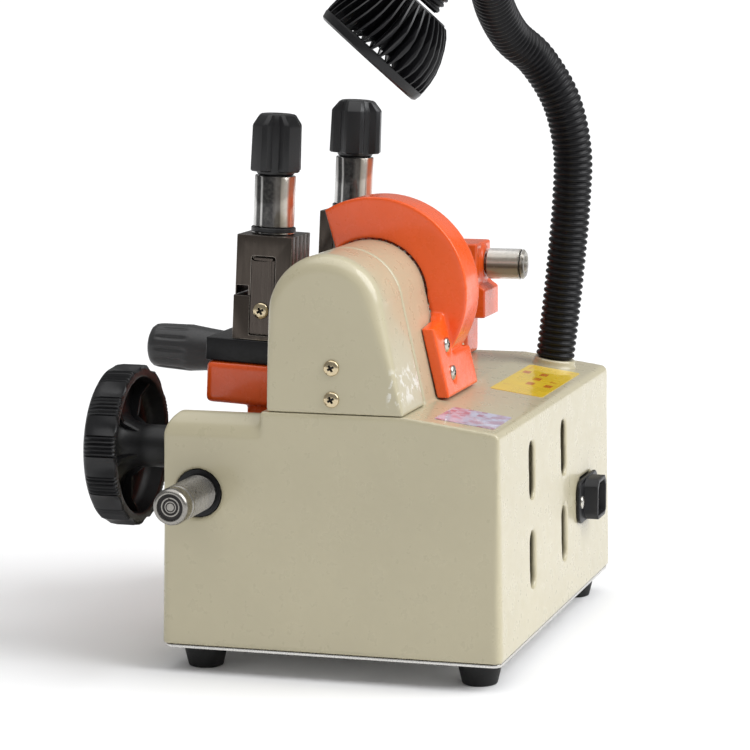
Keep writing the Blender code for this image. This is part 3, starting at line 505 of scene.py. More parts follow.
def ringed(name, rings, finish_name):
    """Skin over rings that end where they start, like a wheel's section."""
    obj = shaped(name, rings + [rings[0]], finish_name, closed=False)
    bm = bmesh.new()
    bm.from_mesh(obj.data)
    bmesh.ops.remove_doubles(bm, verts=bm.verts, dist=1e-4)
    bmesh.ops.recalc_face_normals(bm, faces=bm.faces)
    bm.to_mesh(obj.data)
    bm.free()
    return obj


def flatten(obj):
    """Replace the mesh by what its modifiers make of it."""
    bpy.context.view_layer.update()
    graph = bpy.context.evaluated_depsgraph_get()
    mesh = bpy.data.meshes.new_from_object(obj.evaluated_get(graph))
    obj.modifiers.clear()
    obj.data = mesh
    return obj


def combine(target, operation, *tools):
    for tool in tools:
        modifier = target.modifiers.new("combine", "BOOLEAN")
        modifier.operation = operation
        modifier.solver = "EXACT"
        modifier.material_mode = "TRANSFER"
        modifier.object = tool
    flatten(target)
    for tool in tools:
        bpy.data.objects.remove(tool)
    return target


def cut(target, *tools):
    return combine(target, "DIFFERENCE", *tools)


def weld(target, *tools):
    return combine(target, "UNION", *tools)


def join(name, *parts):
    """One object from several shells that stay apart."""
    bm = bmesh.new()
    slots = []
    for part in parts:
        start = len(bm.faces)
        bm.from_mesh(part.data)
        bm.faces.ensure_lookup_table()
        finish_of = part.data.materials[0] if part.data.materials else None
        if finish_of not in slots:
            slots.append(finish_of)
        for face in bm.faces[start:]:
            face.material_index = slots.index(finish_of)
    mesh = bpy.data.meshes.new(name)
    bm.to_mesh(mesh)
    bm.free()
    obj = bpy.data.objects.new(name, mesh)
    bpy.context.scene.collection.objects.link(obj)
    for finish_of in slots:
        mesh.materials.append(finish_of)
    for part in parts:
        bpy.data.objects.remove(part)
    return obj


def soften(obj, voxel, rounds, keep=0.25):
    """Give a cast piece soft edges: remesh, smooth, then drop the faces that flat areas don't need."""
    remesh = obj.modifiers.new("remesh", "REMESH")
    remesh.mode = "VOXEL"
    remesh.voxel_size = voxel
    smooth = obj.modifiers.new("smooth", "SMOOTH")
    smooth.factor = 0.5
    smooth.iterations = rounds
    thin = obj.modifiers.new("thin", "DECIMATE")
    thin.ratio = keep
    return flatten(obj)


def crisp(obj, width=0.35, segments=2, angle=40.0, edge_finish=None):
    """Small bevel on every sharp edge of a machined piece, with its own finish if asked."""
    modifier = obj.modifiers.new("edges", "BEVEL")
    if edge_finish:
        obj.data.materials.append(MATERIALS[edge_finish])
        modifier.material = len(obj.data.materials) - 1
    modifier.width = width
    modifier.segments = segments
    modifier.limit_method = "ANGLE"
    modifier.angle_limit = math.radians(angle)
    modifier.harden_normals = False
    return flatten(obj)


def place(obj, name, body, nodes=(), slot=None, at=PLACE, sharp=32.0):
    """Move a piece from millimetres to the row frame, shade it, and hang it on its body."""
    obj.name = name
    obj.data.name = name
    obj.data.transform(at)
    obj.data.shade_smooth()
    if sharp:
        obj.data.set_sharp_from_angle(angle=math.radians(sharp))
    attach(obj, body)
    if nodes:
        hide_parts(*nodes)
    return obj


def phillips(name, axis, at, radius, finish_name, rise=2.3, shank=0.0):
    """Domed pan head with a cross recess, standing on a place and facing along an axis."""
    dome = [(0, rise)]
    dome += [(radius * math.sin(math.radians(a)), rise * (0.30 + 0.70 * math.cos(math.radians(a))))
             for a in (15, 30, 45, 60, 72, 82)]
    dome += [(radius, rise * 0.30), (radius, 0.0), (radius * 0.5, -shank), (0, -shank)]
    head = turned(name, dome, "z", (0, 0, 0), finish_name, 40)
    arm = radius * 0.60
    width = radius * 0.15
    cutters = []
    for turn in (0, 90):
        taper = [(-arm, rise + 1), (arm, rise + 1), (arm * 0.45, rise - radius * 0.42),
                 (-arm * 0.45, rise - radius * 0.42)]
        # the cross's cut faces take a near-black finish: painted shade inside the recess
        cutter = prism("cross", taper, "y", (-width, width), "recess_painted_shade")
        cutter.data.transform(Matrix.Rotation(math.radians(turn + 28), 4, "Z"))
        cutters.append(cutter)
    cut(head, *cutters)
    crisp(head, radius * 0.03, 2, 45)
    turn = UPRIGHT[axis] if isinstance(axis, str) else axis
    head.data.transform(Matrix.Translation(at) @ turn)
    return head


# ---------------------------------------------------------------- base
def arch_outline(shrink=0.0, bottom=DECK, steps=28):
    foot = HEAD_BACK - shrink / math.cos(HEAD_LEAN) + (DECK - bottom) * math.tan(HEAD_LEAN)
    lean = math.degrees(HEAD_LEAN)
    return [(HEAD_FRONT + shrink, bottom), (foot, bottom)] + \
        arc((SPINDLE.y, SPINDLE.z), ARCH_RADIUS - shrink, lean / 2, 180, steps)


def back_line(z, offset):
    """Y of the sloping back of the headstock at a height, moved out by an offset."""
    return HEAD_BACK - (z - DECK) * math.tan(HEAD_LEAN) + offset


def base_casting():
    outline = rounded([(-HALF_DEPTH, BASE_BOTTOM, 0), (HALF_DEPTH, BASE_BOTTOM, 0),
                       (HALF_DEPTH - DRAFT, BACK_TOP, 4.5), (SLOPE_START, DECK, 0),
                       (-HALF_DEPTH + DRAFT, DECK, 16)], 10)

    def upper(edge):
        along_x = abs(edge.verts[0].co.x - edge.verts[1].co.x) > 0.01
        return not along_x and max(vert.co.z for vert in edge.verts) > BASE_BOTTOM + 0.01

    casting = prism("casting", outline, "x", (-HALF_WIDTH, HALF_WIDTH), "cream", (4.5, upper), 5)
    for vert in casting.data.vertices:
        rise = (vert.co.z - BASE_BOTTOM) / (DECK - BASE_BOTTOM)
        vert.co.x *= 1 - rise * DRAFT / HALF_WIDTH
    post = [(20, DECK - 4), (HEAD_BACK - 0.2, DECK - 4), (back_line(168, -0.2), 168), (22, 168)]
    weld(casting, prism("head", arch_outline(bottom=DECK - 4), "x", (HEAD_LEFT, COVER_LOW.x - 0.3)),
         prism("post", post, "x", (-12, HEAD_LEFT + 5)))

    bay = rounded([(BAY_X[0], BAY_FLOOR, 4), (BAY_X[1], BAY_FLOOR, 4), (BAY_X[1], 260, 0), (-150, 260, 0),
                   (-150, LEFT_EAR_TOP, 0), (BAY_X[0], LEFT_EAR_TOP, 3)], 4)
    hollow = [(-HALF_DEPTH + WALL, 5), (HALF_DEPTH - WALL, 5), (HALF_DEPTH - WALL - 1, BACK_TOP - 7),
              (SLOPE_START, DECK - 7), (BAY_BACK + WALL, DECK - 7), (BAY_BACK + WALL, BAY_FLOOR - 6),
              (-HALF_DEPTH + WALL, BAY_FLOOR - 6)]
    cut(casting, prism("bay", bay, "y", (-110, BAY_BACK)))
    cut(casting, prism("hollow", hollow, "x", (-HALF_WIDTH + WALL, HALF_WIDTH - WALL)))
    centre = (HALF_WIDTH - DRAFT - RIGHT_EAR_ROUND, DECK - RIGHT_EAR_ROUND - 1)
    crest = arc(centre, RIGHT_EAR_ROUND, 8, 68, 12)
    inner = BAY_X[1] - 4
    above_ear = [(150, crest[0][1])] + crest + [(inner, RIGHT_EAR_LOW), (inner, 170), (150, 170)]
    cut(casting, prism("above_ear", above_ear, "y", (-112, BAY_BACK + 0.2)))
    ears = ((BAY_X[1] + 6, HALF_WIDTH - WALL - 1, RIGHT_EAR_LOW - 7),
            (-HALF_WIDTH + WALL + 1, BAY_X[0] - 6, LEFT_EAR_TOP - 7))
    cut(casting, *[block("ear", (low, high), (-HALF_DEPTH + WALL + 1, -20), (50, top))
                   for low, high, top in ears])
    spindle_at = (0, SPINDLE.y, SPINDLE.z)
    shaft_at = (0, SHAFT.y, SHAFT.z)
    cut(casting, block("belt_way", (98, 122), (-28, 34), (DECK - 12, DECK + 4)),
        rod("bore", "x", spindle_at, (HEAD_LEFT - 5, COVER_LOW.x + 5), 17.8))
    cut(casting, rod("bush", "x", shaft_at, (125, 145), 13.3, segments=64),
        rod("bush", "x", shaft_at, (-145, -125), 13.3), rod("way", "x", shaft_at, (72, 88), 11.2),
        rod("way", "x", shaft_at, (-122, -106), 11.2),
        rod("pinion", "y", (WHEEL.x, 0, WHEEL.z), (-105, -82), 9.3))
    vents = []
    for x in VENT_X:
        for z in VENT_Z:
            slot = rounded([(x - 6.2, z - 16, 6.1), (x + 6.2, z - 16, 6.1), (x + 6.2, z + 16, 6.1),
                            (x - 6.2, z + 16, 6.1)], 6)
            vents.append(prism("vent", slot, "y", (80, 110)))
            vents.append(block("pocket", (x - 9, x + 9), (80, 91.4), (z - 20, z + 20)))
    cut(casting, *vents)
    cut(casting, block("inlet", (-83, -56), (80, 110), (57, 83)),
        block("switch", (-150, -125), (8, 34), (81, 99)))
    soften(casting, 1.0, 9, 0.22)
    place(casting, "base_shell", "base", ["base_casting"], "cream_enamel", sharp=0)


def bottom_and_feet():
    low, high = span("bottom_plate")
    outline = rounded([(low.x, low.y, 5), (high.x, low.y, 5), (high.x, high.y, 5), (low.x, high.y, 5)], 6)
    plate = crisp(prism("sheet", outline, "z", (low.z, high.z), "sheet"), 0.3)
    place(plate, "bottom_sheet", "base", ["bottom_plate"], "bright_steel")
    for end in ("front", "back"):
        for side in ("right", "left"):
            node = "foot_%s_%s" % (end, side)
            at = middle(node)
            profile = [(0, 2.0), (3.6, 2.0), (3.6, 0.4), (4.0, 0), (8.6, 0), (9.4, 0.35), (9.75, 1.0),
                       (12.3, 12.0), (12.6, 12.8), (12.6, 13.3), (12.2, 13.7), (0, 13.7)]
            foot = turned("foot", profile, "z", (at.x, at.y, 0), "rubber", 48)
            screw = turned("washer", [(0, 2.3), (3.4, 2.3), (3.4, 1.2), (1.2, 0.9), (0, 0.9)], "z",
                           (at.x, at.y, 0), "nickel", 24)
            place(join("foot", foot, screw), "rubber_" + node, "base", [node], "foot_rubber")


def cover_edge(y, z):
    """Rounding of the cover's outer edge: generous over the top, fading out down the back."""
    rise = (z - DECK) / (SPINDLE.z + ARCH_RADIUS - DECK)
    if y < SPINDLE.y:
        return 0.4 + 8.5 * max(0.0, rise) ** 1.3
    return 0.4 + 8.5 * min(1.0, 1.35 * max(0.0, rise))


def belt_cover():
    inner = COVER_LOW.x
    outer = COVER_HIGH.x
    bottom = COVER_LOW.z
    corners = arch_outline(bottom=bottom)
    outline = []
    for index, (y, z) in enumerate(corners):
        outline.append(Vector((y, z)))
        after = Vector(corners[(index + 1) % len(corners)])
        pieces = max(1, round((after - outline[-1]).length / 5)) if index else 1
        start = outline[-1]
        outline += [start.lerp(after, step / pieces) for step in range(1, pieces)]
    rings = [[(inner, *point) for point in outline]]
    for step in range(8):
        turn = math.pi / 2 * step / 7
        ring = []
        for index, point in enumerate(outline):
            along = outline[(index + 1) % len(outline)] - outline[index - 1]
            inward = Vector((-along.y, along.x)).normalized()
            reach = cover_edge(*point)
            moved = point + inward * reach * (1 - math.cos(turn))
            ring.append((outer - reach * (1 - math.sin(turn)), moved.x, max(moved.y, bottom)))
        rings.append(ring)
    cover = shaped("cover", rings, "cream_cover")
    cut(cover, prism("space", arch_outline(5.5, bottom - 10), "x", (inner - 5, outer - 5)))
    bosses = [rod("boss", "x", (0, 1.7, height), (inner, outer - 3), 5) for height in (171.0, 154.0)]
    weld(cover, *bosses)
    soften(cover, 0.8, 12, 0.3)
    place(cover, "belt_cover_shell", "base", ["belt_cover"], "cream_enamel", sharp=0)
    for name in ("upper", "lower"):
        node = "belt_cover_screw_" + name
        at = middle(node)
        screw = phillips("screw", "x", (outer - 0.1, at.y, at.z), 4.3, "zinc")
        place(screw, "cover_pan_screw_" + name, "base", [node], "brass_zinc")


# ---------------------------------------------------------------- guard and tracer
def cutter_guard():
    x0, x1 = GUARD_X
    outer = arc(GUARD_CENTRE, GUARD_RADIUS, 121.9, -40, 48)
    inner = arc((SPINDLE.y, SPINDLE.z), ARCH_RADIUS + 0.7, 0, 130, 32)
    guard = prism("guard", outer + [(back_line(165, 1.3), 165)] + inner, "x", (x1 - 3, x1), "orange")
    rim = outer + list(reversed(arc(GUARD_CENTRE, GUARD_RADIUS - 3.5, 121.9, -40, 48)))
    left, right = FLANGE_X
    plate = [(left, 147), (right, 147), (right, 185), (x1 + 6, 187), (x1 + 1.5, 190.5), (x1 - 1, 191),
             (x1 - 2, 168.5), (left, 168.5)]
    flange = prism("flange", plate, "y", FLANGE)
    for vert in flange.data.vertices:
        vert.co.y += back_line(vert.co.z, 0)
    weld(guard, prism("rim", rim, "x", (x0, x1 - 0.5)), flange)
    for name in ("upper", "lower"):
        at = middle("guard_screw_" + name)
        face = back_line(at.z, FLANGE[1])
        cut(guard, rod("seat", "y", (at.x, 0, at.z), (face - 0.9, 62), 5.0),
            rod("hole", "y", (at.x, 0, at.z), (30, 48), 2.4, segments=16))
    soften(guard, 0.7, 11, 0.3)
    place(guard, "guard_casting", "base", ["cutter_guard"], "orange_enamel", sharp=0)
    for name in ("upper", "lower"):
        node = "guard_screw_" + name
        at = middle(node)
        face = back_line(at.z, FLANGE[1])
        screw = phillips("screw", "y", (at.x, face - 0.8, at.z), 4.3, "nickel")
        place(screw, "guard_pan_screw_" + name, "base", [node], "bright_steel")


def tracer():
    low, high = span("tracer_bracket")
    outline = [(low.y, 170), (25.7, 170), (25.7, 187), (20.7, 190.5), (20.7, high.z), (low.y, high.z)]
    body = prism("bracket", outline, "x", (low.x, high.x), "orange")
    column = block("column", (low.x + 3, high.x - 3), (low.y + 5, 14), (low.z, 175), None, 2.0)
    boss = [(0, 17), (11.5, 17), (11.5, 21.2), (10, 22.7), (0, 22.7)]
    weld(body, column, turned("boss", boss, "y", (TRACER.x, 0, TRACER.z)))
    cut(body, rod("bore", "y", (TRACER.x, 0, TRACER.z), (-30, 40), 6.0))
    soften(body, 0.8, 10, 0.3)
    place(body, "tracer_casting", "base", ["tracer_bracket"], "orange_enamel", sharp=0)

    at = (TRACER.x, 0, TRACER.z)
    finger = turned("finger", [(0, -30), (3.2, -30), (5.6, -27.5), (5.6, 10.6), (5.0, 11), (0, 11)], "y", at,
                    "steel", 32)
    blade = [(-37.2, -6), (-36.6, -4), (-34, 2.2), (-27, 2.6), (-27, -6)]
    tip = prism("blade", [(y, TRACER.z + z) for y, z in blade], "x", (TRACER.x - 2.5, TRACER.x + 2.5))
    crisp(weld(finger, tip), 0.2)
    place(finger, "tracer_blade", "tracer", ["tracer_finger"], "bright_steel")

    knob = [(0, 11.6), (4, 11.6), (4, 24.2), (8.9, 24.2), (9.3, 24.6), (9.3, 43.8), (8.9, 44.2), (8.6, 44.3),
            (8.6, 45.0), (9.0, 45.2), (9.0, 45.6), (7.6, 46.8), (5.4, 47.0), (4.9, 46.6), (4.6, 46.7),
            (3.6, 47.7), (2.0, 48.1), (0, 48.2)]
    sleeve = turned("knob", knob, "y", at, "satin_painted_reflections", 64)
    line = [(8.62, 44.35), (8.75, 44.35), (8.75, 44.95), (8.62, 44.95)]
    groove = turned("groove", line, "y", at, "oxide", 64)
    place(join("knob", sleeve, groove), "tracer_adjuster", "tracer_screw", ["tracer_knob"], "chrome")


# ---------------------------------------------------------------- spindle group
def cutter():
    at = (middle("cutter_wheel").x, SPINDLE.y, SPINDLE.z)
    teeth = 48
    rings = []
    half = 3.5
    outline = [(half, 14.5), (half, 30.0), (half - 1.6, 33.9), (-half + 1.6, 33.9), (-half, 30.0),
               (-half, 24), (-half + 1, 23.4), (-half + 1, 16.5), (-half, 15.8), (-half, 14.5)]
    for height, radius in outline:
        ring = []
        for step in range(teeth * 4):
            bite = (0.0, 0.35, 0.75, 1.0)[step % 4]
            depth = 2.6 * bite if radius > 28 else 0.0
            angle = math.tau * (step + height * 0.35) / (teeth * 4)
            ring.append((height, (radius - depth) * math.cos(angle), (radius - depth) * math.sin(angle)))
        rings.append(ring)

    def bore(height):
        return [(height, 6.3 * math.cos(angle), 6.3 * math.sin(angle)) for angle in angles(teeth * 4)]

    wheel = ringed("wheel", [bore(half)] + rings + [bore(-half)], "cutter")
    wheel.data.transform(Matrix.Translation(at))
    place(wheel, "milling_cutter", "spindle_group", ["cutter_wheel"], "bright_steel", sharp=28)

    low, high = span("cutter_nut")
    washer = turned("washer", [(6.3, -1.7), (12.6, -1.7), (13, -2.1), (13, -2.7), (6.3, -2.7)], "x",
                    (high.x + 1.0, SPINDLE.y, SPINDLE.z), "steel", 48)
    flats = arc((SPINDLE.y, SPINDLE.z), 10.6, 0, 300, 5)
    nut = prism("nut", flats, "x", (low.x + 0.1, high.x - 1.8), "oxide")
    cut(nut, rod("bore", "x", (0, SPINDLE.y, SPINDLE.z), (0, 80), 6.35))
    crisp(nut, 0.5)
    place(join("nut", washer, nut), "cutter_locknut", "spindle_group", ["cutter_nut"], "black_oxide")

    low, high = span("spindle")
    thread = []
    height = low.x + 1.2
    while height < low.x + 9:
        thread += [(6.0, height), (5.55, height + 0.5)]
        height += 1.0
    profile = [(0, low.x + 0.6), (1.5, low.x + 0.6), (2.6, low.x), (5.0, low.x)] + thread + \
        [(6.0, height), (6.0, high.x - 1), (5.2, high.x), (0, high.x)]
    place(turned("spindle", profile, "x", (0, SPINDLE.y, SPINDLE.z), "steel", 40), "spindle_bar",
          "spindle_group", ["spindle"], "bright_steel")


# ---------------------------------------------------------------- rack shaft and handwheel
def rack():
    x0, x1 = SHAFT_ENDS
    profile = [(0, x0 + 1.2), (3.5, x0 + 1.2), (4.2, x0), (8.4, x0), (SHAFT_RADIUS, x0 + 1.6),
               (SHAFT_RADIUS, 34.0)]
    pitch = 2.1
    x = 34.6
    while x < x1 - 12.3:
        profile += [(9.95, x), (9.1, x + 0.5), (9.1, x + 0.95), (9.95, x + 1.4)]
        x += pitch
    profile += [(9.9, x1 - 11.2), (9.0, x1 - 10.6), (9.0, x1 - 8.6), (9.95, x1 - 8.1), (9.95, x1 - 2.6),
                (9.5, x1 - 1.2), (8.6, x1 - 0.25), (7.7, x1), (7.3, x1 - 0.15), (7.0, x1 - 1.0)]
    bar = turned("bar", profile + [(0, x1 - 1.2)], "x", (0, SHAFT.y, SHAFT.z), "rack", 64)
    # heights below the end of the shaft: centre hole and turning marks
    face = [(0, -2.4), (1.0, -2.2), (1.9, -1.3), (2.2, -0.9), (2.7, -1.15), (3.3, -1.1), (3.6, -0.85),
            (4.2, -0.85), (4.5, -1.1), (5.2, -1.05), (5.5, -0.85), (6.0, -1.0), (7.0, -0.95), (7.0, -3.0),
            (0, -3.0)]
    end = turned("end", face, "x", (x1, SHAFT.y, SHAFT.z), "dark_end", 64)
    place(join("rack", bar, end), "round_rack", "rack", ["rack_shaft"], "bright_steel", sharp=40)


def handwheel():
    """Cup with groups of fine ridges between plain, hollowed lobes; trumpet hub and ribs inside."""
    y0 = WHEEL_FRONT
    depth = span("handwheel")[1].y - y0
    hub_end = depth
    rim = 21.0
    steps = 800
    lobes = 12
    ridges = 5

    def radius_at(angle, chamfer):
        """Outer radius: ridges over half of each sector, a shallow hollow over the rest."""
        turn = angle * lobes / math.tau % 1.0
        if turn < 0.5:
            return -1.5 * abs(turn * 2 * ridges % 1.0 - 0.5) * 2
        hollow = math.sin((turn - 0.5) * math.tau)
        return -0.3 - 3.2 * hollow * chamfer

    outer = [(rim - 0.2, -3.4, 0.15), (rim, -1.6, 0.3), (rim - 0.7, -0.3, 0.55), (rim - 2.2, 0.0, 0.9),
             (rim - 5, 0, 0.75), (9, 0, 0.3), (5, -0.6, 0.2), (3.2, -1.8, 0.0), (1.4, -4.6, 0.0),
             (0.2, -7.5, 0.0)]
    rings = []
    for height, inset, chamfer in outer:
        ring = []
        for angle in angles(steps):
            change = radius_at(angle, chamfer) if chamfer > 0 else -0.4
            radius = WHEEL_RADIUS + inset + change
            ring.append((radius * math.cos(angle), height, radius * math.sin(angle)))
        rings.append(ring)

    def plain(radius, height):
        return [(radius * math.cos(angle), height, radius * math.sin(angle)) for angle in angles(steps)]

    face = [(34, 0.6), (30, 1.6), (26, 1.2), (22, 0.2), (18.5, 1.2), (15, 2.6), (10, 3.0), (6.3, 3.0)]
    back = [(6.3, hub_end), (10.9, hub_end), (11.8, hub_end - 0.8), (11.9, 24), (12.6, 19), (14.2, 14.5),
            (17.5, 11.0), (23, 8.8), (30, 8.2), (34.5, 8.6), (36.6, 10.5), (37.6, 14), (38.4, rim - 0.6),
            (39.2, rim - 0.1)]
    cup = ringed("cup", rings + [plain(radius, height) for radius, height in face + back], "plastic")
    ribs = []
    for number in range(5):
        rib = prism("rib", [(11, 8), (37.4, 8), (38, 17.5), (30, 13.5), (18, 14), (12.2, 22), (11, 22)], "y",
                    (-0.9, 0.9), "plastic", (0.3, any_edge), 2)
        # outline is radius along X and height along Z: stand the height along Y
        rib.data.transform(Matrix.Rotation(math.radians(72 * number + 20), 4, "Y") @
                           Matrix.Rotation(-math.pi / 2, 4, "X"))
        ribs.append(rib)
    wheel = join("wheel", cup, *ribs)
    wheel.data.transform(Matrix.Translation((WHEEL.x, y0, WHEEL.z)))
    place(wheel, "handwheel_cup", "wheel_group", ["handwheel"], "black_plastic", sharp=50)

    dome = [(0, -146), (4.0, -145.9), (6.6, -145.2), (8.4, -143.8), (9.0, -142.6), (9.0, y0 + 2.6),
            (6.6, y0 + 2.6), (6.6, -141.5), (0, -141.5)]
    cap = turned("cap", dome, "y", (WHEEL.x, 0, WHEEL.z), "chrome", 48)
    place(cap, "handwheel_cap", "wheel_group", ["handwheel_nut"], "chrome")


# ---------------------------------------------------------------- carriage
def carriage():
    low_x, high_x = span("carriage_block")[0].x, span("carriage_block")[1].x
    body = block("block", (low_x, high_x), (-22, 26), (38, PLATE_TOP - 13.3), "orange", 3.0, 4)
    for x0, x1 in ((40, 64), (-74, -50)):
        weld(body, block("arm", (x0, x1), (1.6, 19), (4, 42), None, 1.5),
             rod("boss", "x", (0, 0, 0), (x0, x1), 16.5, segments=48))
    cut(body, rod("bore", "x", (0, 0, 0), (low_x - 10, high_x + 10), 10.3, segments=48))
    soften(body, 0.8, 10, 0.3)
    place(body, "carriage_casting", "carriage", ["carriage_block"], "orange_enamel", CARRIAGE, sharp=0)

    low_x, high_x = span("clamp_plate")[0].x, span("clamp_plate")[1].x
    plate = block("plate", (low_x, high_x), (-22.6, 28), (PLATE_TOP - 13, PLATE_TOP), "oxide")
    crisp(plate, 0.9, 3)
    place(plate, "vise_bed", "carriage", ["clamp_plate"], "black_oxide", CARRIAGE)

    handle_x = middle("carriage_handle").x
    flutes = 12
    # place along the handle, radius, depth of the flutes
    profile = [(-90, 0.5, 0), (-89.8, 6, 0), (-89.3, 9, 0), (-88.2, 11.2, 0), (-86.4, 12.6, 0),
               (-84, 13.1, 0.1), (-82, 13.25, 0.6), (-79, 13.4, 1.0), (-69, 13.7, 1.0), (-66, 13.85, 0.6),
               (-64.2, 13.9, 0.1), (-62, 13.6, 0), (-52, 12.5, 0), (-40, 11.4, 0), (-30, 10.4, 0),
               (-24, 9.6, 0), (-22.7, 9.0, 0), (-22.4, 8.5, 0)]
    rings = []
    for y, radius, fluted in profile:
        ring = []
        for angle in angles(168):
            wave = max(0.0, math.cos(angle * flutes)) ** 1.5
            reach = radius - fluted * wave
            ring.append((handle_x + reach * math.cos(angle), y, HANDLE_Z + reach * math.sin(angle)))
        rings.append(ring)
    grip = shaped("grip", rings, "grip")
    stud = rod("stud", "y", (handle_x, 0, HANDLE_Z), (-23, -12), 4.0, "steel")
    place(join("grip", grip, stud), "fluted_grip", "carriage", ["carriage_handle"], "black_plastic",
          CARRIAGE, sharp=50)


def vise(side):
    x = VISE_X[side]
    half = 17.0
    front, back = VISE_Y - 16.5, VISE_Y + 16.5
    floor = PLATE_TOP + 0.3

    def grooves(z0, z1):
        lines = []
        for number in range(4):
            at = x - 10.5 + number * 7.0
            lines.append(block("groove", (at - 0.5, at + 0.5), (back - 0.9, back + 2), (z0 - 5, z1 + 5)))
        return lines

    lower = block("lower", (x - half, x + half), (front, back), (floor, JAW_SPLIT), "vise")
    cut(lower, rod("way", "z", (x, VISE_Y, 0), (60, 150), 5.0),
        block("guide_way", (x + half - 2.9, x + half + 4), (VISE_Y - 6.8, VISE_Y + 7.3),
              (PLATE_TOP + 3, 127)),
        *grooves(floor, JAW_SPLIT))
    crisp(lower, 0.35, edge_finish="vise_edge")
    place(lower, "vise_base_" + side, "carriage", ["vise_lower_jaw_" + side], "vise_steel", CARRIAGE)

    upper = block("upper", (x - half + 0.4, x + half - 0.4), (front + 0.8, back),
                  (JAW_SPLIT + 0.3, VISE_TOP), "vise")
    slot = rounded([(VISE_Y - 6.8, 90, 0), (VISE_Y + 7.3, 90, 0), (VISE_Y + 7.3, JAW_SPLIT + 22.6, 1.5),
                    (VISE_Y - 6.8, JAW_SPLIT + 22.6, 1.5)], 5)
    cut(upper, rod("way", "z", (x, VISE_Y, 0), (60, 150), 5.0),
        prism("guide_way", slot, "x", (x + half - 2.9, x + half + 4)),
        block("notch", (x - half - 2, x + half + 2), (front + 1.3, front + 8.4),
              (JAW_SPLIT - 2, JAW_SPLIT + 5.6)),
        *grooves(JAW_SPLIT, VISE_TOP))
    crisp(upper, 0.35, edge_finish="vise_edge")
    place(upper, "vise_head_" + side, "jaw_" + side, ["vise_upper_jaw_" + side], "vise_steel", CARRIAGE)

    outline = rounded([(VISE_Y - 6.4, PLATE_TOP + 4, 0.5), (VISE_Y + 6.9, PLATE_TOP + 4, 0.5),
                       (VISE_Y + 6.9, JAW_SPLIT + 21.5, 1.2), (VISE_Y - 6.4, JAW_SPLIT + 21.5, 1.2)], 5)

    def top_edge(edge):
        outside = all(vert.co.x > x + half - 0.3 for vert in edge.verts)
        return outside and min(vert.co.z for vert in edge.verts) > JAW_SPLIT + 16

    guide = prism("guide", outline, "x", (x + half - 2.6, x + half - 0.2), "guide", (1.9, top_edge), 1)
    place(guide, "jaw_guide_" + side, "carriage", ["vise_guide_" + side], "vise_steel", CARRIAGE)
    screw = phillips("screw", "x", (x + half - 0.1, VISE_Y, 92), 4.6, "zinc", 2.2)
    place(screw, "guide_pan_screw_" + side, "carriage", ["vise_guide_screw_" + side], "brass_zinc", CARRIAGE)

    on_top = (x, VISE_Y, VISE_TOP)
    bright = [(5.0, 0.3), (11.6, 0.3), (12.2, 0.6), (12.2, 1.1), (5.0, 1.1)]
    dark = [(5.0, 1.15), (12.1, 1.15), (12.5, 1.5), (12.5, 3.3), (12.0, 3.8), (5.0, 3.8)]
    tube = [(5.0, 4.1), (10.9, 4.1), (11.3, 4.4), (11.5, 5.0), (11.5, 32.0), (11.2, 32.5), (5.0, 32.5)]
    ring = turned("ring", dark, "z", on_top, "knob", 64)
    lower_ring = turned("ring", bright, "z", on_top, "chrome", 64)
    place(join("collar", ring, lower_ring), "vise_washer_" + side, "jaw_" + side, ["vise_collar_" + side],
          "black_oxide", CARRIAGE)
    place(turned("sleeve", tube, "z", on_top, "chrome", 72), "chrome_sleeve_" + side, "jaw_" + side,
          ["vise_sleeve_" + side], "chrome", CARRIAGE)
    wing_knob(side, x)


def wing_knob(side, x):
    """Round core with four square lobes whose crowns slope in towards the top."""
    low, high = 166.8, 201.0
    core = turned("core", [(0, low), (9.4, low), (10.5, low + 0.9), (10.8, low + 2), (10.8, high - 7),
                           (9.0, high - 0.8), (8.2, high), (3.2, high), (2.6, high - 0.5), (0, high - 0.5)],
                  "z", (0, 0, 0), "knob", 48)
    # height, reach and half width of each pair of lobes
    levels = ((low + 2.2, 14.4, 5.6), (low + 3.0, 15.2, 6.3), (high - 6.4, 14.8, 6.1),
              (high - 5.4, 14.2, 6.0), (high - 1.0, 10.6, 5.3), (high - 0.25, 9.4, 4.6))
    bars = []
    for turn in (0, 90):
        rings = []
        for z, reach, half in levels:
            chamfer = 2.0 * reach / 14
            corner = [(reach, half - chamfer), (reach - chamfer, half)]
            quarter = corner + [(-a, b) for a, b in reversed(corner)]
            outline = quarter + [(-a, -b) for a, b in quarter]
            rings.append([(a, b, z) for a, b in outline])
        bar = shaped("bar", rings, "knob")
        bar.data.transform(Matrix.Rotation(math.radians(turn), 4, "Z"))
        bars.append(bar)
    knob = crisp(weld(core, *bars), 0.5, 3, 30)
    azimuth = dict(right=-30.0, left=10.0)[side]
    knob.data.transform(Matrix.Translation((x, VISE_Y, 0)) @ Matrix.Rotation(math.radians(azimuth), 4, "Z"))
    place(knob, "wing_knob_" + side, "knob_" + side, ["vise_knob_" + side], "black_plastic", CARRIAGE,
          sharp=38)


# ---------------------------------------------------------------- gooseneck and lamp
NECK_BASE = Vector((-106.0, 67.1, 142.9))
LAMP_DEPTH = 42.0


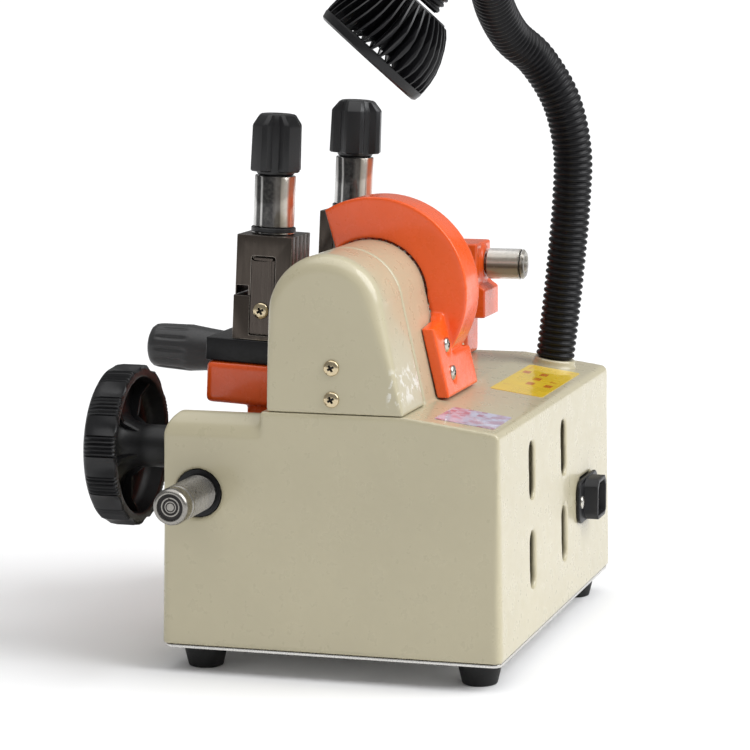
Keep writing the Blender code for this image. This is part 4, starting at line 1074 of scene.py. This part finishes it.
def neck_points():
    """The same centre line as the CAD's: collar, up, over the work, down into the lamp's back."""
    back = Vector((50.0, -3.3, 330.7)) + LAMP_AXIS * (LAMP_DEPTH + 1.4)
    start = NECK_BASE + Vector((0.0, 0.13, 1.0)).normalized() * 4.6
    return [start, Vector((-106, 71.7, 182)), Vector((-106, 74.7, 212.5)), Vector((-105, 77.3, 242.4)),
            Vector((-102, 78.3, 272.4)), Vector((-94, 73, 302.3)), Vector((-82, 61.1, 326.2)),
            Vector((-64, 50.4, 340.1)), Vector((-40, 47, 356)), Vector((-14, 48.5, 373)),
            Vector((10, 50, 384)), Vector((27, 46, 386)), back + LAMP_AXIS * 13, back]


def neck_curve(t):
    points = neck_points()
    points = [points[0] * 2 - points[1]] + points + [points[-1] * 2 - points[-2]]
    index = min(int(t), len(points) - 4)
    u = t - index
    p0, p1, p2, p3 = points[index:index + 4]
    return 0.5 * (2 * p1 + (p2 - p0) * u + (2 * p0 - 5 * p1 + 4 * p2 - p3) * u * u
                  + (3 * p1 - p0 - 3 * p2 + p3) * u ** 3)


def gooseneck():
    pitch = 3.8
    samples = [neck_curve(index / 60) for index in range(60 * (len(neck_points()) - 1) + 1)]
    lengths = [0.0]
    for first, second in zip(samples, samples[1:]):
        lengths.append(lengths[-1] + (second - first).length)
    ribs = int(lengths[-1] / pitch)
    pitch = lengths[-1] / ribs

    def at_length(wanted):
        index = min(max(1, bisect.bisect_left(lengths, wanted)), len(lengths) - 1)
        part = (wanted - lengths[index - 1]) / max(1e-9, lengths[index] - lengths[index - 1])
        return samples[index - 1].lerp(samples[index], part)

    # one rib: narrow root, round crest
    rib = [(0.0, 1.35), (0.13, 1.25), (0.24, 0.45), (0.38, 0.08), (0.5, 0.0), (0.62, 0.08), (0.76, 0.45),
           (0.87, 1.25)]
    split = next(index for index in range(ribs) if index * pitch > 0.47 * lengths[-1])
    frames = []
    side = Vector((0.0, 1.0, 0.0))
    for number in range(ribs):
        for along, depth in rib:
            frames.append(((number + along) * pitch, depth))
    frames.append((lengths[-1], 1.35))
    rings = []
    for wanted, depth in frames:
        centre = at_length(wanted)
        ahead = at_length(min(lengths[-1], wanted + 0.5)) - at_length(max(0.0, wanted - 0.5))
        ahead.normalize()
        side = (side - ahead * side.dot(ahead)).normalized()
        other = ahead.cross(side)
        radius = NECK_RADIUS - 0.05 - depth
        rings.append([centre + (side * math.cos(angle) + other * math.sin(angle)) * radius
                      for angle in angles(40)])
    cut_at = split * len(rib)
    joints = [machine_point(JOINTS[name]["pos_m"]) for name in ("neck_bend", "lamp_bend")]
    # name, rings, bodies it joins, pivot, CAD nodes and the bend's place on the curve
    halves = (("lower", rings[:cut_at + 1], ("base", "neck"), joints[0],
               ("gooseneck_lower", "gooseneck_middle"), 3.5),
              ("upper", rings[cut_at:], ("neck", "lamp"), joints[1], ("gooseneck_upper",), 9.0))
    for name, part, bodies, pivot, nodes, bend in halves:
        tube = shaped("tube", part, "neck")
        tube.name = "corrugated_neck_" + name
        tube.data.transform(PLACE)
        tube.data.shade_smooth()
        tube.data.set_sharp_from_angle(angle=math.radians(60))
        along = (neck_curve(bend + 0.05) - neck_curve(bend - 0.05)).normalized() * BEND_REACH
        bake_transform(tube)
        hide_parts(*nodes)

    tilt = math.atan2(DECK - BACK_TOP, HALF_DEPTH - DRAFT - SLOPE_START)
    profile = [(0, -0.2), (13.6, -0.2), (13.2, 0.5), (12.7, 1.4), (12.5, 3.2), (11.8, 4.0), (0, 4.2)]
    collar = turned("collar", profile, Matrix.Rotation(-tilt, 4, "X"), NECK_BASE, "cream", 64)
    place(collar, "neck_collar", "base", ["gooseneck_collar"], "neck_plastic")


def lamp():
    """Open bowl of thin curved fins between a flat rim ring and a core, with a lens in front."""
    turn = Matrix.Translation(LAMP_RIM) @ LAMP_AXIS.to_track_quat("Z", "Y").to_matrix().to_4x4()
    at = PLACE @ turn
    rim = [(30.2, 0.2), (31.2, 0), (32.6, 0), (34.2, 1.0), (35.0, 4.6), (34.8, 5.6), (33.6, 5.8),
           (30.6, 3.4), (30.2, 2.6)]
    ring = turned("ring", rim, "z", (0, 0, 0), "lamp", 120)
    middle_part = [(0, 9), (17, 9), (18, 10), (15.5, 16), (14.5, 26), (17, 34), (19.0, 38.5), (19.6, 41.2),
                   (19.0, 42), (12.6, 42), (12.2, 41.4), (0, 41.4)]
    core = turned("core", middle_part, "z", (0, 0, 0), "lamp", 64)
    outside = [(34.7, 4.6), (34.9, 8), (34.7, 13), (33.6, 19), (31.4, 25.5), (28.2, 32), (24.6, 37.5),
               (21.2, 41.0), (18.0, 41.3)]
    inside = [(14.0, 36), (13.6, 24), (15.0, 13), (25.0, 8.6), (31.0, 5.2)]
    outline = outside + inside
    twist = 0.16
    fins = []
    for start in angles(34):
        bm = bmesh.new()
        faces = []
        for offset in (-0.5, 0.5):
            row = []
            for radius, height in outline:
                bend = twist * math.sin(math.pi * min(1.0, height / LAMP_DEPTH))
                angle = start + bend
                tangent = Vector((-math.sin(angle), math.cos(angle), 0))
                row.append(bm.verts.new(Vector((radius * math.cos(angle), radius * math.sin(angle), height))
                                        + tangent * offset))
            faces.append(row)
        bm.faces.new(faces[0])
        bm.faces.new(list(reversed(faces[1])))
        for index in range(len(outline)):
            after = (index + 1) % len(outline)
            bm.faces.new((faces[0][index], faces[1][index], faces[1][after], faces[0][after]))
        bmesh.ops.triangulate(bm, faces=[face for face in bm.faces if len(face.verts) > 4])
        fins.append(new_object("fin", bm, "lamp"))
    place(join("housing", ring, core, *fins), "finned_lamp", "lamp", ["lamp_housing"], "lamp_black", at)
    disc = [(0, 2.6), (12, 2.5), (22, 2.45), (29.2, 2.6), (30.1, 3.2), (30.1, 4.6), (29.4, 5.2), (0, 5.3)]
    glass = turned("lens", disc, "z", (0, 0, 0), "lens", 96)
    place(glass, "frosted_front", "lamp", ["lamp_lens"], "lamp_glass", at)


# ---------------------------------------------------------------- mains inlet, switch, labels
def inlet():
    low, high = span("power_inlet")
    y = HALF_DEPTH - 0.6
    ears = rounded([(low.x, 57, 8), (high.x, 57, 8), (high.x, 83, 8), (low.x, 83, 8)], 8)
    body = prism("ears", ears, "y", (y, y + 2), "plastic")
    corners = [(-82, 62), (-78, 58), (-61, 58), (-57, 62), (-57, 78), (-61, 82), (-78, 82), (-82, 78)]
    weld(body, prism("shroud", corners, "y", (70, y + 10), "plastic"))
    socket = rounded([(-79.5, 60.5, 0.6), (-59.5, 60.5, 0.6), (-59.5, 76, 0.6), (-63, 79.5, 0.6),
                      (-76, 79.5, 0.6), (-79.5, 76, 0.6)], 3)
    cut(body, prism("socket", socket, "y", (y - 8, y + 20)))
    # bevelled edges take a lighter grey: painted highlight along the inlet's rim
    crisp(body, 0.7, 2, 35, "socket_edge_painted_highlight")
    pins = [block("pin", (px - 2, px + 2), (y - 7.5, y + 6.5), (pz - 1, pz + 1), "nickel", 0.4, 2)
            for px, pz in ((-69.5, 73.5), (-76.0, 67.0), (-63.0, 67.0))]
    place(join("inlet", body, *pins), "mains_inlet", "base", ["power_inlet"], "black_plastic")
    for side, x in dict(right=-50.0, left=-89.0).items():
        screw = phillips("screw", "y", (x, y + 1.9, 70), 3.8, "nickel", 1.9)
        place(screw, "inlet_pan_screw_" + side, "base", (), "bright_steel")


def switch():
    low, high = span("power_switch_frame")
    outline = rounded([(low.y, low.z, 2), (high.y, low.z, 2), (high.y, high.z, 2), (low.y, high.z, 2)], 4)
    rim = prism("frame", outline, "x", (low.x, low.x + 2.4), "plastic", (0.7, any_edge), 3)
    weld(rim, block("box", (low.x + 1.6, high.x), (8.5, 33.5), (81.5, 98.5)))
    cut(rim, block("well", (low.x - 5, high.x - 5), (10.5, 31.5), (83, 97)))
    place(rim, "switch_surround", "base", ["power_switch_frame"], "black_plastic")
    pivot = machine_point(JOINTS["switch_rock"]["pos_m"])
    paddle = rounded([(-5.8, 8.4, 0.7), (-3.6, 0, 9), (-2.2, -9.9, 0.7), (6, -7.5, 0.5), (6, 7.5, 0.5)], 5)
    rocker = prism("rocker", paddle, "z", (-6.4, 6.4), "plastic", (0.5, any_edge), 2)
    rocker.data.transform(Matrix.Translation(pivot))
    place(rocker, "rocker_paddle", "rocker", ["switch_rocker"], "rocker_red")


def labels():
    """Two blank stickers on the sloping top: a pale one and a yellow one."""
    slope = math.atan2(DECK - BACK_TOP, HALF_DEPTH - DRAFT - SLOPE_START)
    pale = label_finish("pale_label", (0.50, 0.52, 0.66), (0.36, 0.13, 0.20), (30.0, 42.0), 0.6)
    yellow = label_finish("yellow_label", (0.86, 0.60, 0.035), (0.55, 0.10, 0.02), (18.0, 30.0), 0.0)
    for name, x0, x1, y0, y1, material in (("rating_label", 83, 125, 55, 88, pale),
                                           ("caution_label", -91, 8, 56, 87, yellow)):
        outline = rounded([(x0, y0, 2), (x1, y0, 2), (x1, y1, 2), (x0, y1, 2)], 4)
        label = prism(name, outline, "z", (0.02, 0.22))
        label.data.materials.append(material)
        turn = Matrix.Translation((0, SLOPE_START, DECK)) @ Matrix.Rotation(-slope, 4, "X") @ \
            Matrix.Translation((0, -SLOPE_START, 0))
        label.data.transform(turn)
        place(label, name, "base", (), None)


def label_finish(name, colour, print_colour, cells, mottle):
    """Printed film with plain printed blocks and soft fading, and no lettering."""
    nodes = Nodes(name)
    shader = nodes.shader
    shader.inputs["Coat Weight"].default_value = 0.6
    fade = nodes.noise(22.0, 3.0, 0.6)
    tone = nodes.mix(nodes.ramp(fade, ((0.3, 0.7), (0.0, 1.0))), shade(colour, 0.9), shade(colour, 1.08))
    worn = nodes.ramp(nodes.noise(120.0, 3.0, 0.6), ((0.45, 0.6), (0.0, mottle)))
    tone = nodes.mix(worn, tone, print_colour)
    blocks = nodes.ramp(nodes.noise(28.0, 1.0, 0.5), ((0.48, 0.54), (0.0, 0.8)))
    for direction, scale, level in zip("XY", cells, (0.45, 0.6)):
        stripes = nodes.add("ShaderNodeTexWave", bands_direction=direction)
        stripes.inputs["Scale"].default_value = scale
        nodes.link(nodes.coords, stripes.inputs["Vector"])
        mask = nodes.ramp(stripes.outputs["Fac"], ((level, level + 0.05), (0.0, 1.0)))
        blocks = nodes.math("MULTIPLY", blocks, mask)
    nodes.link(nodes.mix(blocks, tone, print_colour), shader.inputs["Base Color"])
    nodes.link(nodes.ramp(fade, ((0.3, 0.7), (0.22, 0.38))), shader.inputs["Roughness"])
    nodes.link(nodes.bump(nodes.noise(300.0), 0.3, 0.00002), shader.inputs["Normal"])
    return nodes.material


def carried_over_nodes():
    """CAD pieces that are right as they are, mostly inside the housing, get their finish here."""
    kept = dict(motor="motor", drive_belt="belt", motor_pulley="steel", spindle_pulley="steel",
                spindle_bearing_left="steel", spindle_bearing_right="steel", rack_bush_right="oxide",
                rack_bush_left="oxide", pinion_bush="oxide", pinion_shaft="steel",
                vise_stud_right="steel", vise_stud_left="steel")
    for node, finish_name in kept.items():
        mesh = frame["nodes"][node].data
        mesh.materials.clear()
        mesh.materials.append(MATERIALS[finish_name])


# ---------------------------------------------------------------- light, floor, camera
def stage():
    bm = bmesh.new()
    bmesh.ops.create_grid(bm, x_segments=1, y_segments=1, size=60.0)
    floor = new_object("floor", bm)
    material = Nodes("pale_floor")
    tone = material.mix(material.noise(3.0), (0.88, 0.88, 0.88), (0.92, 0.92, 0.92))
    material.link(tone, material.shader.inputs["Base Color"])
    material.shader.inputs["Roughness"].default_value = 0.8
    material.shader.inputs["Specular IOR Level"].default_value = 0.2
    floor.data.materials.append(material.material)

    world = bpy.data.worlds.new("studio")
    world.use_nodes = True
    world.node_tree.nodes["Background"].inputs["Color"].default_value = (1.0, 1.0, 1.0, 1.0)
    world.node_tree.nodes["Background"].inputs["Strength"].default_value = 0.3
    bpy.context.scene.world = world
    bpy.context.scene.view_settings.view_transform = "Standard"

    def soft_sun(name, towards, strength, spread, colour):
        light = bpy.data.lights.new(name, "SUN")
        light.energy = strength
        light.angle = math.radians(spread)
        light.color = colour
        obj = bpy.data.objects.new(name, light)
        obj.rotation_euler = Vector(towards).to_track_quat("-Z", "Y").to_euler()
        bpy.context.scene.collection.objects.link(obj)

    soft_sun("from_above", (-0.1, 0.0, -1.0), 1.45, 70, (1.0, 1.0, 1.0))
    soft_sun("from_behind", (0.0, -0.766, -0.643), 2.65, 48, (0.97, 0.98, 1.0))


def camera():
    """Seen from the operator's right and a little behind, slightly from above."""
    yaw, pitch, roll = math.radians(16.376), math.radians(8.162), math.radians(-0.136)
    forward = Vector((-math.cos(pitch) * math.cos(yaw), -math.cos(pitch) * math.sin(yaw), -math.sin(pitch)))
    right = forward.cross(Vector((0, 0, 1))).normalized()
    up = right.cross(forward)
    right, up = math.cos(roll) * right + math.sin(roll) * up, -math.sin(roll) * right + math.cos(roll) * up
    turn = Matrix((right, up, -forward)).transposed()
    data = bpy.data.cameras.new("camera")
    data.sensor_width = 36.0
    data.lens = 143.65
    obj = bpy.data.objects.new("camera", data)
    eye = PLACE @ Vector((1637.6, 467.0, 376.7 + BASE_BOTTOM))
    obj.matrix_world = Matrix.Translation(eye) @ turn.to_4x4()
    bpy.context.scene.collection.objects.link(obj)
    bpy.context.scene.camera = obj


camera()
stage()
base_casting()
bottom_and_feet()
belt_cover()
cutter_guard()
tracer()
cutter()
rack()
handwheel()
carriage()
for vise_side in VISE_X:
    vise(vise_side)
gooseneck()
lamp()
inlet()
switch()
labels()
carried_over_nodes()
